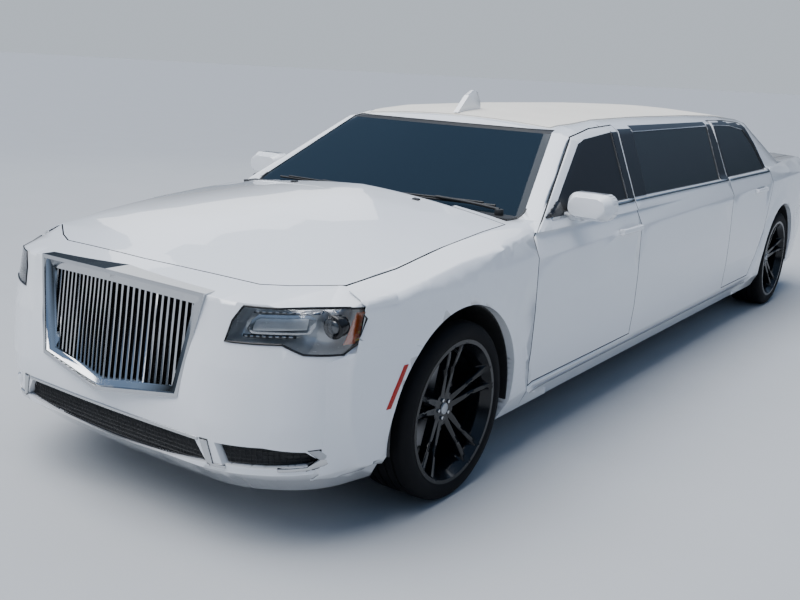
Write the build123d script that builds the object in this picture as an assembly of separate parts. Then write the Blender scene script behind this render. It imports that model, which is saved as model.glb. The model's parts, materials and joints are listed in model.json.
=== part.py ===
from build123d import *
from math import atan2, hypot, radians, tan
import os

os.makedirs("parts", exist_ok=True)

# Millimetres. +X is the car's left, +Y its rear, +Z up, with the ground at 0.
# Driving sizes of the base saloon and of its stretch.
base_wheelbase = 3052
stretch = 1600
wheelbase = base_wheelbase + stretch
front_overhang = 992
rear_overhang = 1080
overall_length = front_overhang + wheelbase + rear_overhang
front_axle_y = front_overhang - overall_length / 2
rear_axle_y = front_axle_y + wheelbase

# Walls and clearances.
side_wall = 95
bay_wall = 60
pillar_wall = 45
roof_wall = 36
shut_gap = 6
cover_wall = 5

# Heights of the structure.
floor_top = 290
pan_wall = 30
tray_top = 200
boot_floor = 420
bulkhead = (-260, -180)

# Exhaust tips.
tip_radius = 36
tip_x = 430
tip_z = 290

# Road wheels.
tyre_radius = 360
tyre_width = 254
axle_z = tyre_radius
arch_radius = 432
flare_proud = 15
flare_lip = 14
flare_slope = 6.3
liner_wall = 8
wheel_x = 805
liner_front_x = 460
liner_rear_x = 590
body_half_width = 951

# Doors: skin outlines as (behind front axle, height, half width of the skin there).
draft = tan(radians(15))
front_door_skin = (
    (597, 326, 925), (1773, 326, 925), (1741, 900, 936), (1745, 1050, 880), (1852, 1420, 688),
    (1560, 1408, 694), (1300, 1372, 708), (925, 1165, 818), (597, 981, 908),
)
# The same for the rear door, as (behind rear axle, height, half width).
rear_door_skin = (
    (-1272, 326, 925), (-677, 326, 925), (-462, 640, 936), (-380, 900, 936), (-364, 1058, 878),
    (-430, 1250, 780), (-545, 1396, 700), (-860, 1416, 690), (-1200, 1421, 688),
    (-1306, 1050, 880), (-1310, 900, 936),
)
front_window = ((806, 1060), (1664, 1060), (1758, 1384), (1400, 1358), (1320, 1338))
long_window_front = (1925, 2040)
long_window_rear = (-1462, -1340)
long_window_z = (1062, 1378, 1384)
rear_window_side = ((-1252, 1066), (-412, 1072), (-470, 1230), (-590, 1346), (-860, 1378), (-1150, 1386))

# Glass.
glass_recess = 3
glass = 6
screen_slant = 2
screen_corners = ((800, 1030), (604, 1396))
backlight_corners = ((735, 1098), (548, 1402))


def fy(distance):
    """Y of a point given behind the front axle."""
    return front_axle_y + distance


def ry(distance):
    """Y of a point given behind the rear axle."""
    return rear_axle_y + distance


# Plan outlines of the lower body, from the underside up.
# height, half width, nose ahead of front axle, tail behind rear axle, tilted with the belt or not
body_levels = (
    (190, 858, 812, 965, False),
    (300, 915, 942, 1048, False),
    (480, 932, 950, 1076, False),
    (660, 938, 932, 1080, False),
    (890, 936, 885, 1062, True),
    (1150, 808, 842, 1040, True),
)
belt_rise = 0.0215
belt_pivot_s = 260

# Shape of nose and tail seen from above: share of the half width, set back from the end.
nose_shape = ((0, 0), (0.62, 18), (0.88, 180), (0.978, 520))
tail_shape = ((0, 0), (0.66, 10), (0.90, 95), (0.978, 430))
side_start_s = 120

# Sections across the lower body's top, along the length.
# place, from front (0) or rear axle (1), height at centre, shoulder half width, its height, drop
top_sections = (
    (-1010, 0, 880, 600, 846, 640),
    (-860, 0, 908, 640, 874, 700),
    (-700, 0, 934, 700, 902, 760),
    (-540, 0, 968, 777, 930, 820),
    (-300, 0, 1014, 800, 966, 865),
    (0, 0, 1062, 812, 998, 900),
    (310, 0, 1098, 822, 1022, 912),
    (620, 0, 1118, 850, 1032, 905),
    (1000, 0, 1120, 880, 1034, 880),
    (2200, 0, 1122, 884, 1052, 890),
    (-1400, 1, 1124, 884, 1062, 900),
    (-300, 1, 1126, 880, 1080, 915),
    (200, 1, 1122, 840, 1092, 925),
    (600, 1, 1122, 800, 1092, 930),
    (920, 1, 1128, 780, 1094, 925),
    (1120, 1, 1118, 760, 1084, 900),
)

# How far each half of the bonnet and deck falls below an even arc, which leaves a crease between them.
crease_fall = 5

# Plan outlines of the glasshouse at its foot and at its top: half width, place.
house_low = 1000
house_high = 1480
house_front_low = ((0, 585), (820, 600), (900, 606), (905, 700))
house_front_high = ((0, 1388), (560, 1418), (628, 1480), (655, 1600))
house_rear_low = ((905, 50), (872, 300), (760, 410), (0, 445))
house_rear_high = ((655, -640), (615, -520), (520, -470), (0, -450))
side_lean = (house_front_low[-1][0] - house_front_high[-1][0]) / (house_high - house_low)

# Rounded rail between crown and side glass: width, fall of the crown and of the rail, how far proud.
rail_width = 162
crown_fall = 30
rail_fall = 112
rail_proud = 7

# Crown of the roof: place, from front (0) or rear axle (1), height at centre.
roof_sections = (
    (560, 0, 1240),
    (900, 0, 1340),
    (1150, 0, 1394),
    (1400, 0, 1442),
    (1750, 0, 1468),
    (2300, 0, 1477),
    (-1500, 1, 1477),
    (-900, 1, 1468),
    (-450, 1, 1444),
    (-150, 1, 1398),
    (150, 1, 1336),
    (460, 1, 1250),
)


def soft_loop(points, plane):
    """Face inside a closed loop, each corner rounded as far as its runs allow."""
    radii = []
    count = len(points)
    for i in range(count):
        before, here, after = points[i - 1], points[i], points[(i + 1) % count]
        run_in = (here[0] - before[0], here[1] - before[1])
        run_out = (after[0] - here[0], after[1] - here[1])
        turn = abs(atan2(run_in[0] * run_out[1] - run_in[1] * run_out[0],
                         run_in[0] * run_out[0] + run_in[1] * run_out[1]))
        radii.append(0.45 * min(hypot(*run_in), hypot(*run_out)) / tan(turn / 2))
    return plane * make_face(FilletPolyline(*points, radius=radii, close=True))


def mirrored(half):
    """Closed loop from half of it, given from the front centre to the rear centre."""
    return half + [(-x, y) for x, y in reversed(half[1:-1])]


def body_outline(level, inset):
    height, half_width, nose, tail, tilted = level
    width = half_width - inset
    half = [(share * width, fy(-nose + back + inset)) for share, back in nose_shape]
    half.append((width, fy(side_start_s)))
    half.append((width, ry(-side_start_s)))
    half += [(share * width, ry(tail - back - inset)) for share, back in reversed(tail_shape)]
    if not tilted:
        return soft_loop(mirrored(half), Plane.XY.offset(height))
    pivot = fy(belt_pivot_s)
    plane = Plane(origin=(0, pivot, height), x_dir=(1, 0, 0), z_dir=(0, -belt_rise, 1))
    return soft_loop(mirrored([(x, y - pivot) for x, y in half]), plane)


def top_form(drop):
    """Everything under the bonnet, belt and deck surface, lowered by drop."""
    faces = []
    for place, end, centre, shoulder, shoulder_z, low in top_sections:
        y = ry(place) if end else fy(place)
        wide = 1010
        edge_z = shoulder_z - drop
        middle = (shoulder / 2, centre - drop - (centre - shoulder_z) / 4 - crease_fall)
        left_crown = ThreePointArc((0, centre - drop), middle, (shoulder, edge_z))
        right_crown = ThreePointArc((-shoulder, edge_z), (-middle[0], middle[1]), (0, centre - drop))
        rest = Polyline((shoulder, edge_z), (wide, low - drop), (wide, 0), (-wide, 0),
                        (-wide, low - drop), (-shoulder, edge_z))
        plane = Plane(origin=(0, y, 0), x_dir=(1, 0, 0), z_dir=(0, -1, 0))
        faces.append(plane * make_face(left_crown + rest + right_crown))
    return loft(faces, ruled=True)


def lower_form(inset, drop):
    lower = [body_outline(level, inset) for level in body_levels]
    return loft(lower, ruled=True) & top_form(drop)


def house_outline(height, front, rear, side_inset, end_inset):
    half = [(x - side_inset if x else 0, fy(s) + end_inset) for x, s in front]
    half += [(x - side_inset if x else 0, ry(s) - end_inset) for x, s in rear]
    return soft_loop(mirrored(half), Plane.XY.offset(height))


def roof_form(drop):
    """Everything under the crowned roof with its rounded rails, lowered by drop."""
    faces = []
    for place, end, centre in roof_sections:
        y = ry(place) if end else fy(place)
        top = centre - drop
        rail_z = top - rail_fall
        rail_x = house_front_low[-1][0] - side_lean * (rail_z - house_low) + rail_proud
        crown_x = rail_x - rail_width
        knee = (rail_x - 58, top - 58)
        foot = (rail_x + 0.54 * 608, rail_z - 608)
        crown = ThreePointArc((-crown_x, top - crown_fall), (0, top), (crown_x, top - crown_fall))
        left_rail = ThreePointArc((crown_x, top - crown_fall), knee, (rail_x, rail_z))
        right_rail = ThreePointArc((-crown_x, top - crown_fall), (-knee[0], knee[1]), (-rail_x, rail_z))
        rest = Polyline((rail_x, rail_z), foot, (-foot[0], foot[1]), (-rail_x, rail_z))
        plane = Plane(origin=(0, y, 0), x_dir=(1, 0, 0), z_dir=(0, -1, 0))
        faces.append(plane * make_face(crown + left_rail + rest + right_rail))
    return loft(faces, ruled=True)


def house_form(side_inset, end_inset, drop):
    """The glasshouse, windscreen to rear window, inside its skin by the given insets."""
    low = house_outline(house_low, house_front_low, house_rear_low, side_inset, end_inset)
    high = house_outline(house_high, house_front_high, house_rear_high, side_inset, end_inset)
    return loft([low, high], ruled=True) & roof_form(drop)


def side_prism(points, x_from, x_to):
    """Prism across the car from a side view outline of (y, z) points."""
    return extrude(Plane.YZ.offset(x_from) * make_face(Polyline(*points, close=True)), amount=x_to - x_from)


def end_prism(points, y_from, y_to, radius=0):
    """Prism along the car from an end view outline of (x, z) points."""
    plane = Plane(origin=(0, y_to, 0), x_dir=(1, 0, 0), z_dir=(0, -1, 0))
    wire = FilletPolyline(*points, radius=radius, close=True) if radius else Polyline(*points, close=True)
    return extrude(plane * make_face(wire), amount=y_to - y_from)


def block(x_from, x_to, y_from, y_to, z_from, z_to):
    low = (x_from, y_from, z_from)
    return Pos(*low) * Box(x_to - x_from, y_to - y_from, z_to - z_from, align=(Align.MIN,) * 3)


def spread(points, distances):
    """Closed outline with every corner moved out along its mitre by its own distance."""
    area = sum(a[0] * b[1] - b[0] * a[1] for a, b in zip(points, points[1:] + points[:1]))
    side = 1 if area > 0 else -1
    moved = []
    for i, here in enumerate(points):
        before, after = points[i - 1], points[(i + 1) % len(points)]
        run_in = hypot(here[0] - before[0], here[1] - before[1])
        run_out = hypot(after[0] - here[0], after[1] - here[1])
        n_in = ((here[1] - before[1]) / run_in * side, -(here[0] - before[0]) / run_in * side)
        n_out = ((after[1] - here[1]) / run_out * side, -(after[0] - here[0]) / run_out * side)
        scale = distances[i] / (1 + n_in[0] * n_out[0] + n_in[1] * n_out[1])
        moved.append((here[0] + (n_in[0] + n_out[0]) * scale, here[1] + (n_in[1] + n_out[1]) * scale))
    return moved


def door_prism(skin, grow):
    """Door outline as a prism that narrows inwards, so that its edges swing clear."""
    outer_x, inner_x = 980, 560
    flat = [(y, z) for y, z, _ in skin]
    outer = spread(flat, [draft * (outer_x - x) + grow for _, _, x in skin])
    inner = spread(flat, [draft * (inner_x - x) + grow for _, _, x in skin])
    faces = [Plane.YZ.offset(x) * make_face(Polyline(*points, close=True))
             for x, points in ((outer_x, outer), (inner_x, inner))]
    return loft(faces, ruled=True)


def largest(part, count=1):
    """The biggest solids of a cut, without the crumbs."""
    solids = sorted(part.solids(), key=lambda s: s.volume, reverse=True)[:count]
    return Part() + solids if count > 1 else Part(solids[0].wrapped)


def save(name, part):
    export_step(part, f"parts/{name}.step")


def front(points):
    """Side view points given behind the front axle, as (y, z)."""
    return [(fy(p[0]),) + tuple(p[1:]) for p in points]


def rear(points):
    return [(ry(p[0]),) + tuple(p[1:]) for p in points]


def bonnet_prism(grow):
    """Bonnet outline from above, its front edge raked so that it swings up clear."""
    half = [(0, -745), (525, -698), (620, -650), (777, -540), (812, -300), (800, 500), (0, 552)]
    rake = 0.22
    faces = []
    for height in (1200, 800):
        shift = [rake * (919 - height) if y < -300 else 0 for _, y in half]
        loop = [(x, fy(y + move)) for (x, y), move in zip(half, shift)]
        loop = loop + [(-x, y) for x, y in reversed(loop[1:-1])]
        loop = spread(loop, [grow] * len(loop))
        faces.append(Plane.XY.offset(height) * make_face(Polyline(*loop, close=True)))
    return loft(faces, ruled=True)


lid_front = 325
lid_side = rear([(lid_front, 1200), (lid_front, 1078), (345, 1070), (900, 1070), (900, 764), (1200, 764),
                 (1200, 1200)])
lid_end = [(-520, 764), (520, 764), (560, 870), (690, 1030), (705, 1200), (-705, 1200), (-690, 1030),
           (-560, 870)]


def lid_prism(grow):
    side = side_prism(spread(lid_side, [grow] * len(lid_side)), -900, 900)
    return side & end_prism(spread(lid_end, [grow] * len(lid_end)), ry(200), ry(1200))


def pair(part):
    """A left piece and its mirror image."""
    return part + mirror(part, about=Plane.YZ)


def flare_cone(y):
    """Cone about a wheel's axis that narrows outwards, so that the arch lip swells towards its opening."""
    start_x = 880
    height = body_half_width - start_x
    lip_radius = arch_radius + flare_lip
    cone = Cone(lip_radius + height * flare_slope, lip_radius, height,
                align=(Align.CENTER, Align.CENTER, Align.MIN))
    return Pos(start_x, y, axle_z) * Rot(0, 90, 0) * cone


# Skin with its hollows.
deep = 4000
trough_z = 1040
cowl_back = 650
lower = lower_form(0, 0) - block(-800, 800, fy(552), fy(900), trough_z, 1300)
flares = lower_form(-flare_proud, 0) & (pair(flare_cone(front_axle_y)) + pair(flare_cone(rear_axle_y)))
outer = lower + house_form(0, 0, 0) + flares
cabin_low = lower_form(side_wall, 30) & block(-900, 900, fy(640), ry(bulkhead[0]), floor_top, 1200)
cabin_high = house_form(pillar_wall, 70, roof_wall) & block(-900, 900, fy(600), ry(290), 900, 1600)
bay_form = lower_form(bay_wall, 28)
engine_bay = bay_form & block(-900, 900, fy(-900), fy(560), tray_top, 1200)
boot = bay_form & (block(-900, 900, ry(bulkhead[1]), ry(1010), boot_floor, 960)
                   + block(-900, 900, ry(335), ry(1010), 700, 1200))
shell = outer - [cabin_low, cabin_high, engine_bay, boot]

# Side openings.
front_door_line = front(front_door_skin)
rear_door_line = rear(rear_door_skin)
front_window_line = front(front_window)
rear_window_line = rear(rear_window_side)
long_window_line = [(fy(long_window_front[0]), long_window_z[0]), (ry(long_window_rear[0]), long_window_z[0]),
                    (ry(long_window_rear[1]), long_window_z[2]), (fy(long_window_front[1]), long_window_z[1])]
window_reach = (500, 1000)


def wheel_well(y, inner_x):
    return Pos(inner_x, y, axle_z) * Rot(0, 90, 0) * Cylinder(
        arch_radius, body_half_width + 20 - inner_x, align=(Align.CENTER, Align.CENTER, Align.MIN))


openings = [pair(door_prism(line, shut_gap)) for line in (front_door_line, rear_door_line)]
openings.append(pair(side_prism(long_window_line, *window_reach)))
openings += [pair(wheel_well(front_axle_y, liner_front_x)), pair(wheel_well(rear_axle_y, liner_rear_x))]
bonnet_zone = block(-900, 900, -deep, deep, 860, 1200)
openings += [bonnet_prism(shut_gap) & bonnet_zone, lid_prism(shut_gap)]

screen_hole = end_prism([(-screen_corners[0][0], screen_corners[0][1]), screen_corners[0],
                         screen_corners[1], (-screen_corners[1][0], screen_corners[1][1])],
                        fy(cowl_back), fy(1500), radius=30)
light_hole = end_prism([(-backlight_corners[0][0], backlight_corners[0][1]), backlight_corners[0],
                        backlight_corners[1], (-backlight_corners[1][0], backlight_corners[1][1])],
                       ry(-600), ry(600), radius=40)
openings += [screen_hole, light_hole]

# Nose openings, seen from the front as (half width, height).
grille_line = [(-442, 894), (-372, 524), (0, 476), (372, 524), (442, 894), (0, 914)]
grille_opening = [(-386, 848), (-326, 550), (0, 508), (326, 550), (386, 848), (0, 868)]
lamp_line = [(590, 873), (560, 822), (545, 752), (722, 757), (778, 726), (852, 717), (880, 776), (884, 834),
             (876, 862), (846, 873)]
intake_centre = mirrored([(0, 278), (300, 300), (505, 322), (455, 396), (0, 394)])
intake_side = [(536, 402), (690, 402), (795, 385), (818, 352), (800, 332), (690, 326), (562, 326)]
nose = (fy(-1100), fy(-640))
lamp_reach = (fy(-1100), fy(-455))
grille_hole = end_prism(grille_line, *nose)
lamp_hole = pair(end_prism(lamp_line, *lamp_reach))
intake_hole = end_prism(intake_centre, *nose) + pair(end_prism(intake_side, fy(-1100), fy(-600)))

# Tail openings, seen from behind.
tail_line = [(652, 962), (558, 820), (900, 806), (960, 830), (960, 962)]
tail_hole = pair(end_prism(tail_line, ry(850), ry(1200)))
under_tail = block(-700, 700, ry(450), ry(1000), 150, boot_floor - pan_wall)
under_axle = block(-liner_rear_x, liner_rear_x, ry(bulkhead[0] + 20), ry(451), 150, boot_floor - pan_wall)
under_floor = block(-740, 740, fy(640), ry(bulkhead[0] + 21), 100, floor_top - pan_wall)
tips = pair(Pos(tip_x, ry(900), tip_z) * Rot(90, 0, 0) * Cylinder(tip_radius + 6, 500))
body = shell - (openings + [grille_hole, lamp_hole, intake_hole, tail_hole, under_tail, under_axle,
                            under_floor, tips])

pieces = {}
front_end = body & block(-1000, 1000, -deep, fy(1000), 100, 1600)
middle = body & block(-1000, 1000, fy(1000), ry(-760), 100, 1600)
rear_end = body & block(-1000, 1000, ry(-760), deep, 100, 1600)

# Fixed panels, each cut from the skin by its outline in the side view.
fender_zone = pair(side_prism(front([
    (-250, 686), (-600, 766), (-560, 858), (-636, 868), (-640, 884), (-548, 935), (-548, 1200), (597, 1200),
    (597, 150), (-250, 150)]), 520, 1000))
nose_zone = block(-1000, 1000, -deep, fy(-250), 100, 1200)
quarter_line = rear([
    (-720, 320), (-250, 320), (-250, 640), (470, 640), (900, 742), (1200, 742), (1200, 1180), (560, 1180),
    (300, 1330), (-500, 1330), (-760, 1300)])
quarter_zone = pair(side_prism(quarter_line, 420, 1000))
tail_zone = block(-1000, 1000, ry(250), deep, 100, 742) + block(-420, 420, ry(900), deep, 742, 762)
stretch_zone = pair(side_prism([
    (fy(1700), 320), (ry(-1250), 320), (ry(-1250), 1418), (fy(1700), 1418)], 300, 1000))
roof_zone = side_prism([
    (fy(450), trough_z), (fy(1330), trough_z), (fy(1690), 1418), (ry(-1230), 1418), (ry(-520), 1330),
    (ry(300), 1330), (ry(300), 1600), (fy(450), 1600)], -1000, 1000)
pan_zone = block(-740, 740, fy(640), ry(bulkhead[0]), 100, floor_top)

pieces["fenders"] = largest(front_end & fender_zone, 2)
pieces["front_bumper"] = largest((front_end & nose_zone) - fender_zone)
pieces["quarter_panels"] = largest(rear_end & quarter_zone, 2)
pieces["rear_bumper"] = largest((rear_end & tail_zone) - quarter_zone)
pieces["stretch_panels"] = largest(middle & stretch_zone, 2)
pieces["roof"] = largest(body & roof_zone)
pieces["floor_pan"] = largest(body & pan_zone)
frames = body - [fender_zone, nose_zone, quarter_zone, tail_zone, stretch_zone, roof_zone, pan_zone]
frames = sorted(frames.solids(), key=lambda s: s.volume, reverse=True)[:2]
frames.sort(key=lambda s: s.center().Y)
pieces["body_frame"], pieces["rear_frame"] = frames

# Opening panels.
pieces["bonnet"] = largest(shell & (bonnet_prism(0) & bonnet_zone))
pieces["boot_lid"] = largest(shell & lid_prism(0))


def door_handle(y, height):
    """Pull handle on a door's skin, open behind its grip."""
    grip = fillet(Box(30, 250, 30).edges().filter_by(Axis.Y), 9)
    hole = Pos(-8, 0, 0) * Box(20, 180, 40)
    return Pos(948, y, height) * (grip - hole)


def door_mirror():
    """Mirror housing on its arm, seated on the front corner of the door."""
    faces = []
    for back, wide, high, corner in ((1012, 224, 124, 50), (960, 222, 122, 50), (912, 176, 84, 38)):
        plane = Plane(origin=(980, fy(back), 1092), x_dir=(1, 0, 0), z_dir=(0, -1, 0))
        faces.append(plane * RectangleRounded(wide, high, corner))
    housing = loft(faces, ruled=True)
    arm = Pos(896, fy(968), 1038) * fillet(Box(104, 56, 30).edges().filter_by(Axis.X), 12)
    return housing + arm


def pane_form(depth):
    """The glasshouse inside its skin by a depth measured square to the glass."""
    return house_form(depth * hypot(1, side_lean), depth * screen_slant, depth)


pane = pane_form(glass_recess) - pane_form(glass_recess + glass)
pieces["windscreen"] = largest(pane & screen_hole)
pieces["rear_window"] = largest(pane & light_hole)
pieces["stretch_windows"] = largest(pane & pair(side_prism(long_window_line, *window_reach)), 2)
for name, line, window, handle_s, handle_z in (
        ("front", front_door_line, front_window_line, fy(1577), 917),
        ("rear", rear_door_line, rear_window_line, ry(-694), 947)):
    hole = side_prism(window, *window_reach)
    pieces[f"{name}_door_left"] = (largest(shell & door_prism(line, 0)) - hole) + door_handle(handle_s, handle_z)
    pieces[f"{name}_door_glass_left"] = largest(pane & hole)
pieces["mirror_left"] = door_mirror() - pieces["front_door_left"]

# Roof cover and antenna.
cover_plan = [(-560, fy(1330)), (560, fy(1330)), (590, fy(1500)), (590, ry(-620)), (540, ry(-500)),
              (-540, ry(-500)), (-590, ry(-620)), (-590, fy(1500))]
cover_prism = extrude(Plane.XY.offset(1350) * make_face(Polyline(*cover_plan, close=True)), amount=300)
cover = (roof_form(-cover_wall) & cover_prism) - roof_form(0)
pieces["vinyl_roof"] = largest(cover)
fin_line = [(fy(1338), 1440), (fy(1574), 1440), (fy(1566), 1490), (fy(1528), 1550), (fy(1500), 1557),
            (fy(1440), 1530)]
fin = side_prism(fin_line, -14, 14)
pieces["roof_antenna"] = fillet(fin.edges().filter_by(Axis.X).sort_by(Axis.Z)[-3:], 6) - roof_form(-cover_wall)

# Cowl and wipers.
pieces["cowl"] = block(-780, 780, fy(560), fy(cowl_back), trough_z, trough_z + 10)
wipers = []
for pivot_x, blade_end_x in ((700, 120), (40, -560)):
    post = Pos(pivot_x, fy(628), trough_z + 10) * Cylinder(14, 24, align=(Align.CENTER, Align.CENTER, Align.MIN))
    arm = block(blade_end_x, pivot_x, fy(622), fy(634), trough_z + 24, trough_z + 34)
    wipers.append(post + arm)
pieces["wipers"] = wipers[0] + wipers[1]

# Lamps: the skin's own corner inside each lamp outline.
pieces["headlamps"] = largest(shell & lamp_hole, 2)
pieces["tail_lamps"] = largest(shell & tail_hole, 2)
mesh_form = lower_form(26, 0)
pieces["lower_intake"] = (shell & intake_hole) & mesh_form

# Upright grille: bevelled surround, fine bars, and the radiator behind them.
bar_count = 29
bar_pitch = 26.5
bar_width = 9


def grille_face(set_back):
    """Everything behind the grille's front, a shallow V in plan that leans back."""
    reach, rake, lean = 1100, 0.125, 0.134
    cut = []
    for side in (1, -1):
        foot = fy(-1054 + set_back)
        faces = []
        for height in (300, 1000):
            y = foot + lean * height
            corners = [(0, y), (side * 600, y + rake * 600), (side * 600, fy(-300)), (0, fy(-300))]
            faces.append(Plane.XY.offset(height) * make_face(Polyline(*corners, close=True)))
        cut.append(loft(faces, ruled=True))
    return cut[0] + cut[1]


bevel_line = spread(grille_line, [-14] * len(grille_line))
surround = end_prism(grille_line, *nose) - end_prism(grille_opening, *nose)
surround = surround & grille_face(0)
surround = surround - (end_prism(bevel_line, fy(-1100), fy(-700)) - grille_face(22))
grille_back = block(-500, 500, -deep, fy(-790), 300, 1000)
surround = surround & grille_back
bars = []
for i in range(bar_count):
    x = (i - (bar_count - 1) / 2) * bar_pitch
    bars.append(block(x - bar_width / 2, x + bar_width / 2, fy(-1100), fy(-640), 440, 940))
comb = Part() + bars
comb = (comb & end_prism(grille_opening, *nose)) & (grille_face(34) - grille_face(74))
pieces["grille"] = surround + comb
pieces["radiator"] = block(-400, 400, fy(-790), fy(-740), 470, 880) & end_prism(grille_line, *nose)

# Running gear, each wheel about its own centre with +X outboard.
rim_profile = [(122, 290), (112, 280), (66, 258), (-66, 258), (-112, 280), (-122, 290), (-122, 272), (-70, 246),
               (70, 246), (122, 274)]
hub_radius = 68
stub_radius = 28
hub_face = 62
disc_radius = 168
disc_faces = (-26, -4)
kingpin_inset = 50
pin_radius = 12
running = 0.05
spoke_pairs = 5


def make_tyre():
    side = tyre_width / 2
    bead = rim_profile[1][1] + 0.5
    half = [(0, bead), (111, bead), (side, 312), (112, 350), (92, tyre_radius)]
    loop = half + [(-a, r) for a, r in reversed(half[1:])]
    return revolve(make_face(Polyline(*loop, close=True)), Axis.X)


def make_spoke(side):
    """One spoke of a pair, leaning away from its partner towards the rim."""
    foot = Plane.XY.offset(52) * Pos(44, side * 15) * Rectangle(36, 26)
    middle = Plane.XY.offset(170) * Pos(66, side * 26) * Rectangle(34, 22)
    tip = Plane.XY.offset(268) * Pos(92, side * 44) * Rectangle(30, 26)
    return loft([foot, middle, tip], ruled=True)


def make_rim():
    barrel = revolve(make_face(Polyline(*rim_profile, close=True)), Axis.X)
    hub = Pos(disc_faces[1], 0, 0) * Rot(0, 90, 0) * Cylinder(
        hub_radius, hub_face - disc_faces[1], align=(Align.CENTER, Align.CENTER, Align.MIN))
    spokes = [Rot(360 / spoke_pairs * i, 0, 0) * make_spoke(side) for i in range(spoke_pairs) for side in (1, -1)]
    bore = Pos(disc_faces[0] - 10, 0, 0) * Rot(0, 90, 0) * Cylinder(
        stub_radius + running, 70, align=(Align.CENTER, Align.CENTER, Align.MIN))
    return (barrel + hub + spokes) - bore


def make_disc():
    thick = disc_faces[1] - disc_faces[0]
    return Pos(disc_faces[0] + thick / 2, 0, 0) * Rot(0, 90, 0) * (
        Cylinder(disc_radius, thick) - Cylinder(stub_radius + running, thick))


def make_carrier(post_half):
    """Post, stub axle and brake caliper that hold one wheel."""
    post = Pos(-kingpin_inset, 0, 0) * Cylinder(22, 2 * post_half)
    stub = Pos(-kingpin_inset, 0, 0) * Rot(0, 90, 0) * Cylinder(
        stub_radius, kingpin_inset + 30, align=(Align.CENTER, Align.CENTER, Align.MIN))
    bracket = block(-64, -34, 0, 130, -28, 28)
    caliper = block(-66, disc_faces[0] - 2.5, 90, 155, -62, 62)
    return post + stub + bracket + caliper


def place(part, y):
    return Pos(wheel_x, y, axle_z) * part


tyre, rim, disc = make_tyre(), make_rim(), make_disc()
for end, y in (("front", front_axle_y), ("rear", rear_axle_y)):
    pieces[f"tyre_{end}_left"] = place(tyre, y)
    pieces[f"rim_{end}_left"] = place(rim, y)
    pieces[f"brake_disc_{end}_left"] = place(disc, y)

pin = Pos(-kingpin_inset, 0, 0) * Cylinder(pin_radius, 304)
pieces["knuckle_left"] = place(make_carrier(118) + pin, front_axle_y)

# Front subframe with its arms.
kingpin_x = wheel_x - kingpin_inset
eye_radius = kingpin_inset + disc_faces[0] - 6


def make_arm(inner_x, spread_y, z_low, thick):
    """Wishbone whose eye stays inside the sweep of the steered brake disc."""
    y = front_axle_y
    outline = [(kingpin_x, y + eye_radius), (inner_x, y + spread_y), (inner_x, y + spread_y - 55),
               (kingpin_x - 130, y), (inner_x, y - spread_y + 55), (inner_x, y - spread_y),
               (kingpin_x, y - eye_radius)]
    arm = extrude(Plane.XY.offset(z_low) * make_face(Polyline(*outline, close=True)), amount=thick)
    spot = Pos(kingpin_x, y, z_low)
    eye = Cylinder(eye_radius, thick, align=(Align.CENTER, Align.CENTER, Align.MIN))
    return (arm + spot * eye) - spot * Cylinder(pin_radius + running, 4 * thick)


rail = block(345, 395, front_axle_y - 260, front_axle_y + 260, 205, 245)
tower = block(345, 442, front_axle_y - 125, front_axle_y + 125, 205, 520)
cross = [block(-350, 350, front_axle_y + y - 25, front_axle_y + y + 25, 205, 245) for y in (-180, 180)]
arms = make_arm(390, 170, axle_z - 150, 28) + make_arm(440, 110, axle_z + 122, 28)
subframe_half = rail + tower + arms
pieces["front_subframe"] = pair(subframe_half) + cross
chassis_rail = block(345, 440, fy(-700), fy(560), 520, 600)
engine_top = 850
pieces["chassis_rails"] = pair(chassis_rail) + block(-345, 345, fy(-735), fy(-700), 520, 600) + pair(
    block(345, 440, fy(-735), fy(-700), 520, 600))
pieces["engine_block"] = block(-300, 300, front_axle_y - 420, front_axle_y + 330, 245, engine_top)

# Rear axle: carriers, arms, crossmember, final drive and its shafts.
carrier = Pos(wheel_x, rear_axle_y, axle_z) * make_carrier(108)
lower_arm = block(500, kingpin_x - 12, rear_axle_y - 32, rear_axle_y + 32, 262, 296)
crossmember = block(-520, 520, rear_axle_y - 60, rear_axle_y + 60, 296, boot_floor - pan_wall)
shaft = Pos(wheel_x, rear_axle_y, axle_z) * Pos(-kingpin_inset, 0, 0) * Rot(0, -90, 0) * Cylinder(
    18, kingpin_x - 100, align=(Align.CENTER, Align.CENTER, Align.MIN))
drive = Pos(0, rear_axle_y - 20, 322) * fillet(Box(240, 300, 130).edges().filter_by(Axis.Y), 30)
pieces["rear_axle"] = pair(carrier + lower_arm + block(470, 520, rear_axle_y - 32, rear_axle_y + 32, 262, 300)
                           + shaft) + crossmember + drive

# Wheel liners.
liners = []
for y, inner_x in ((front_axle_y, liner_front_x), (rear_axle_y, liner_rear_x)):
    ring = Pos(inner_x, y, axle_z) * Rot(0, 90, 0) * (
        Cylinder(arch_radius, 912 - inner_x, align=(Align.CENTER, Align.CENTER, Align.MIN))
        - Pos(0, 0, liner_wall) * Cylinder(arch_radius - liner_wall, 912 - inner_x,
                                           align=(Align.CENTER, Align.CENTER, Align.MIN)))
    ring = ring & block(inner_x, 912, y - 500, y + 500, 300, 900)
    liners.append(ring - block(inner_x - 1, inner_x + liner_wall + 1, y - 210, y + 210, 200, 560))
pieces["wheel_liners"] = pair(liners[0]) + pair(liners[1])

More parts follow.
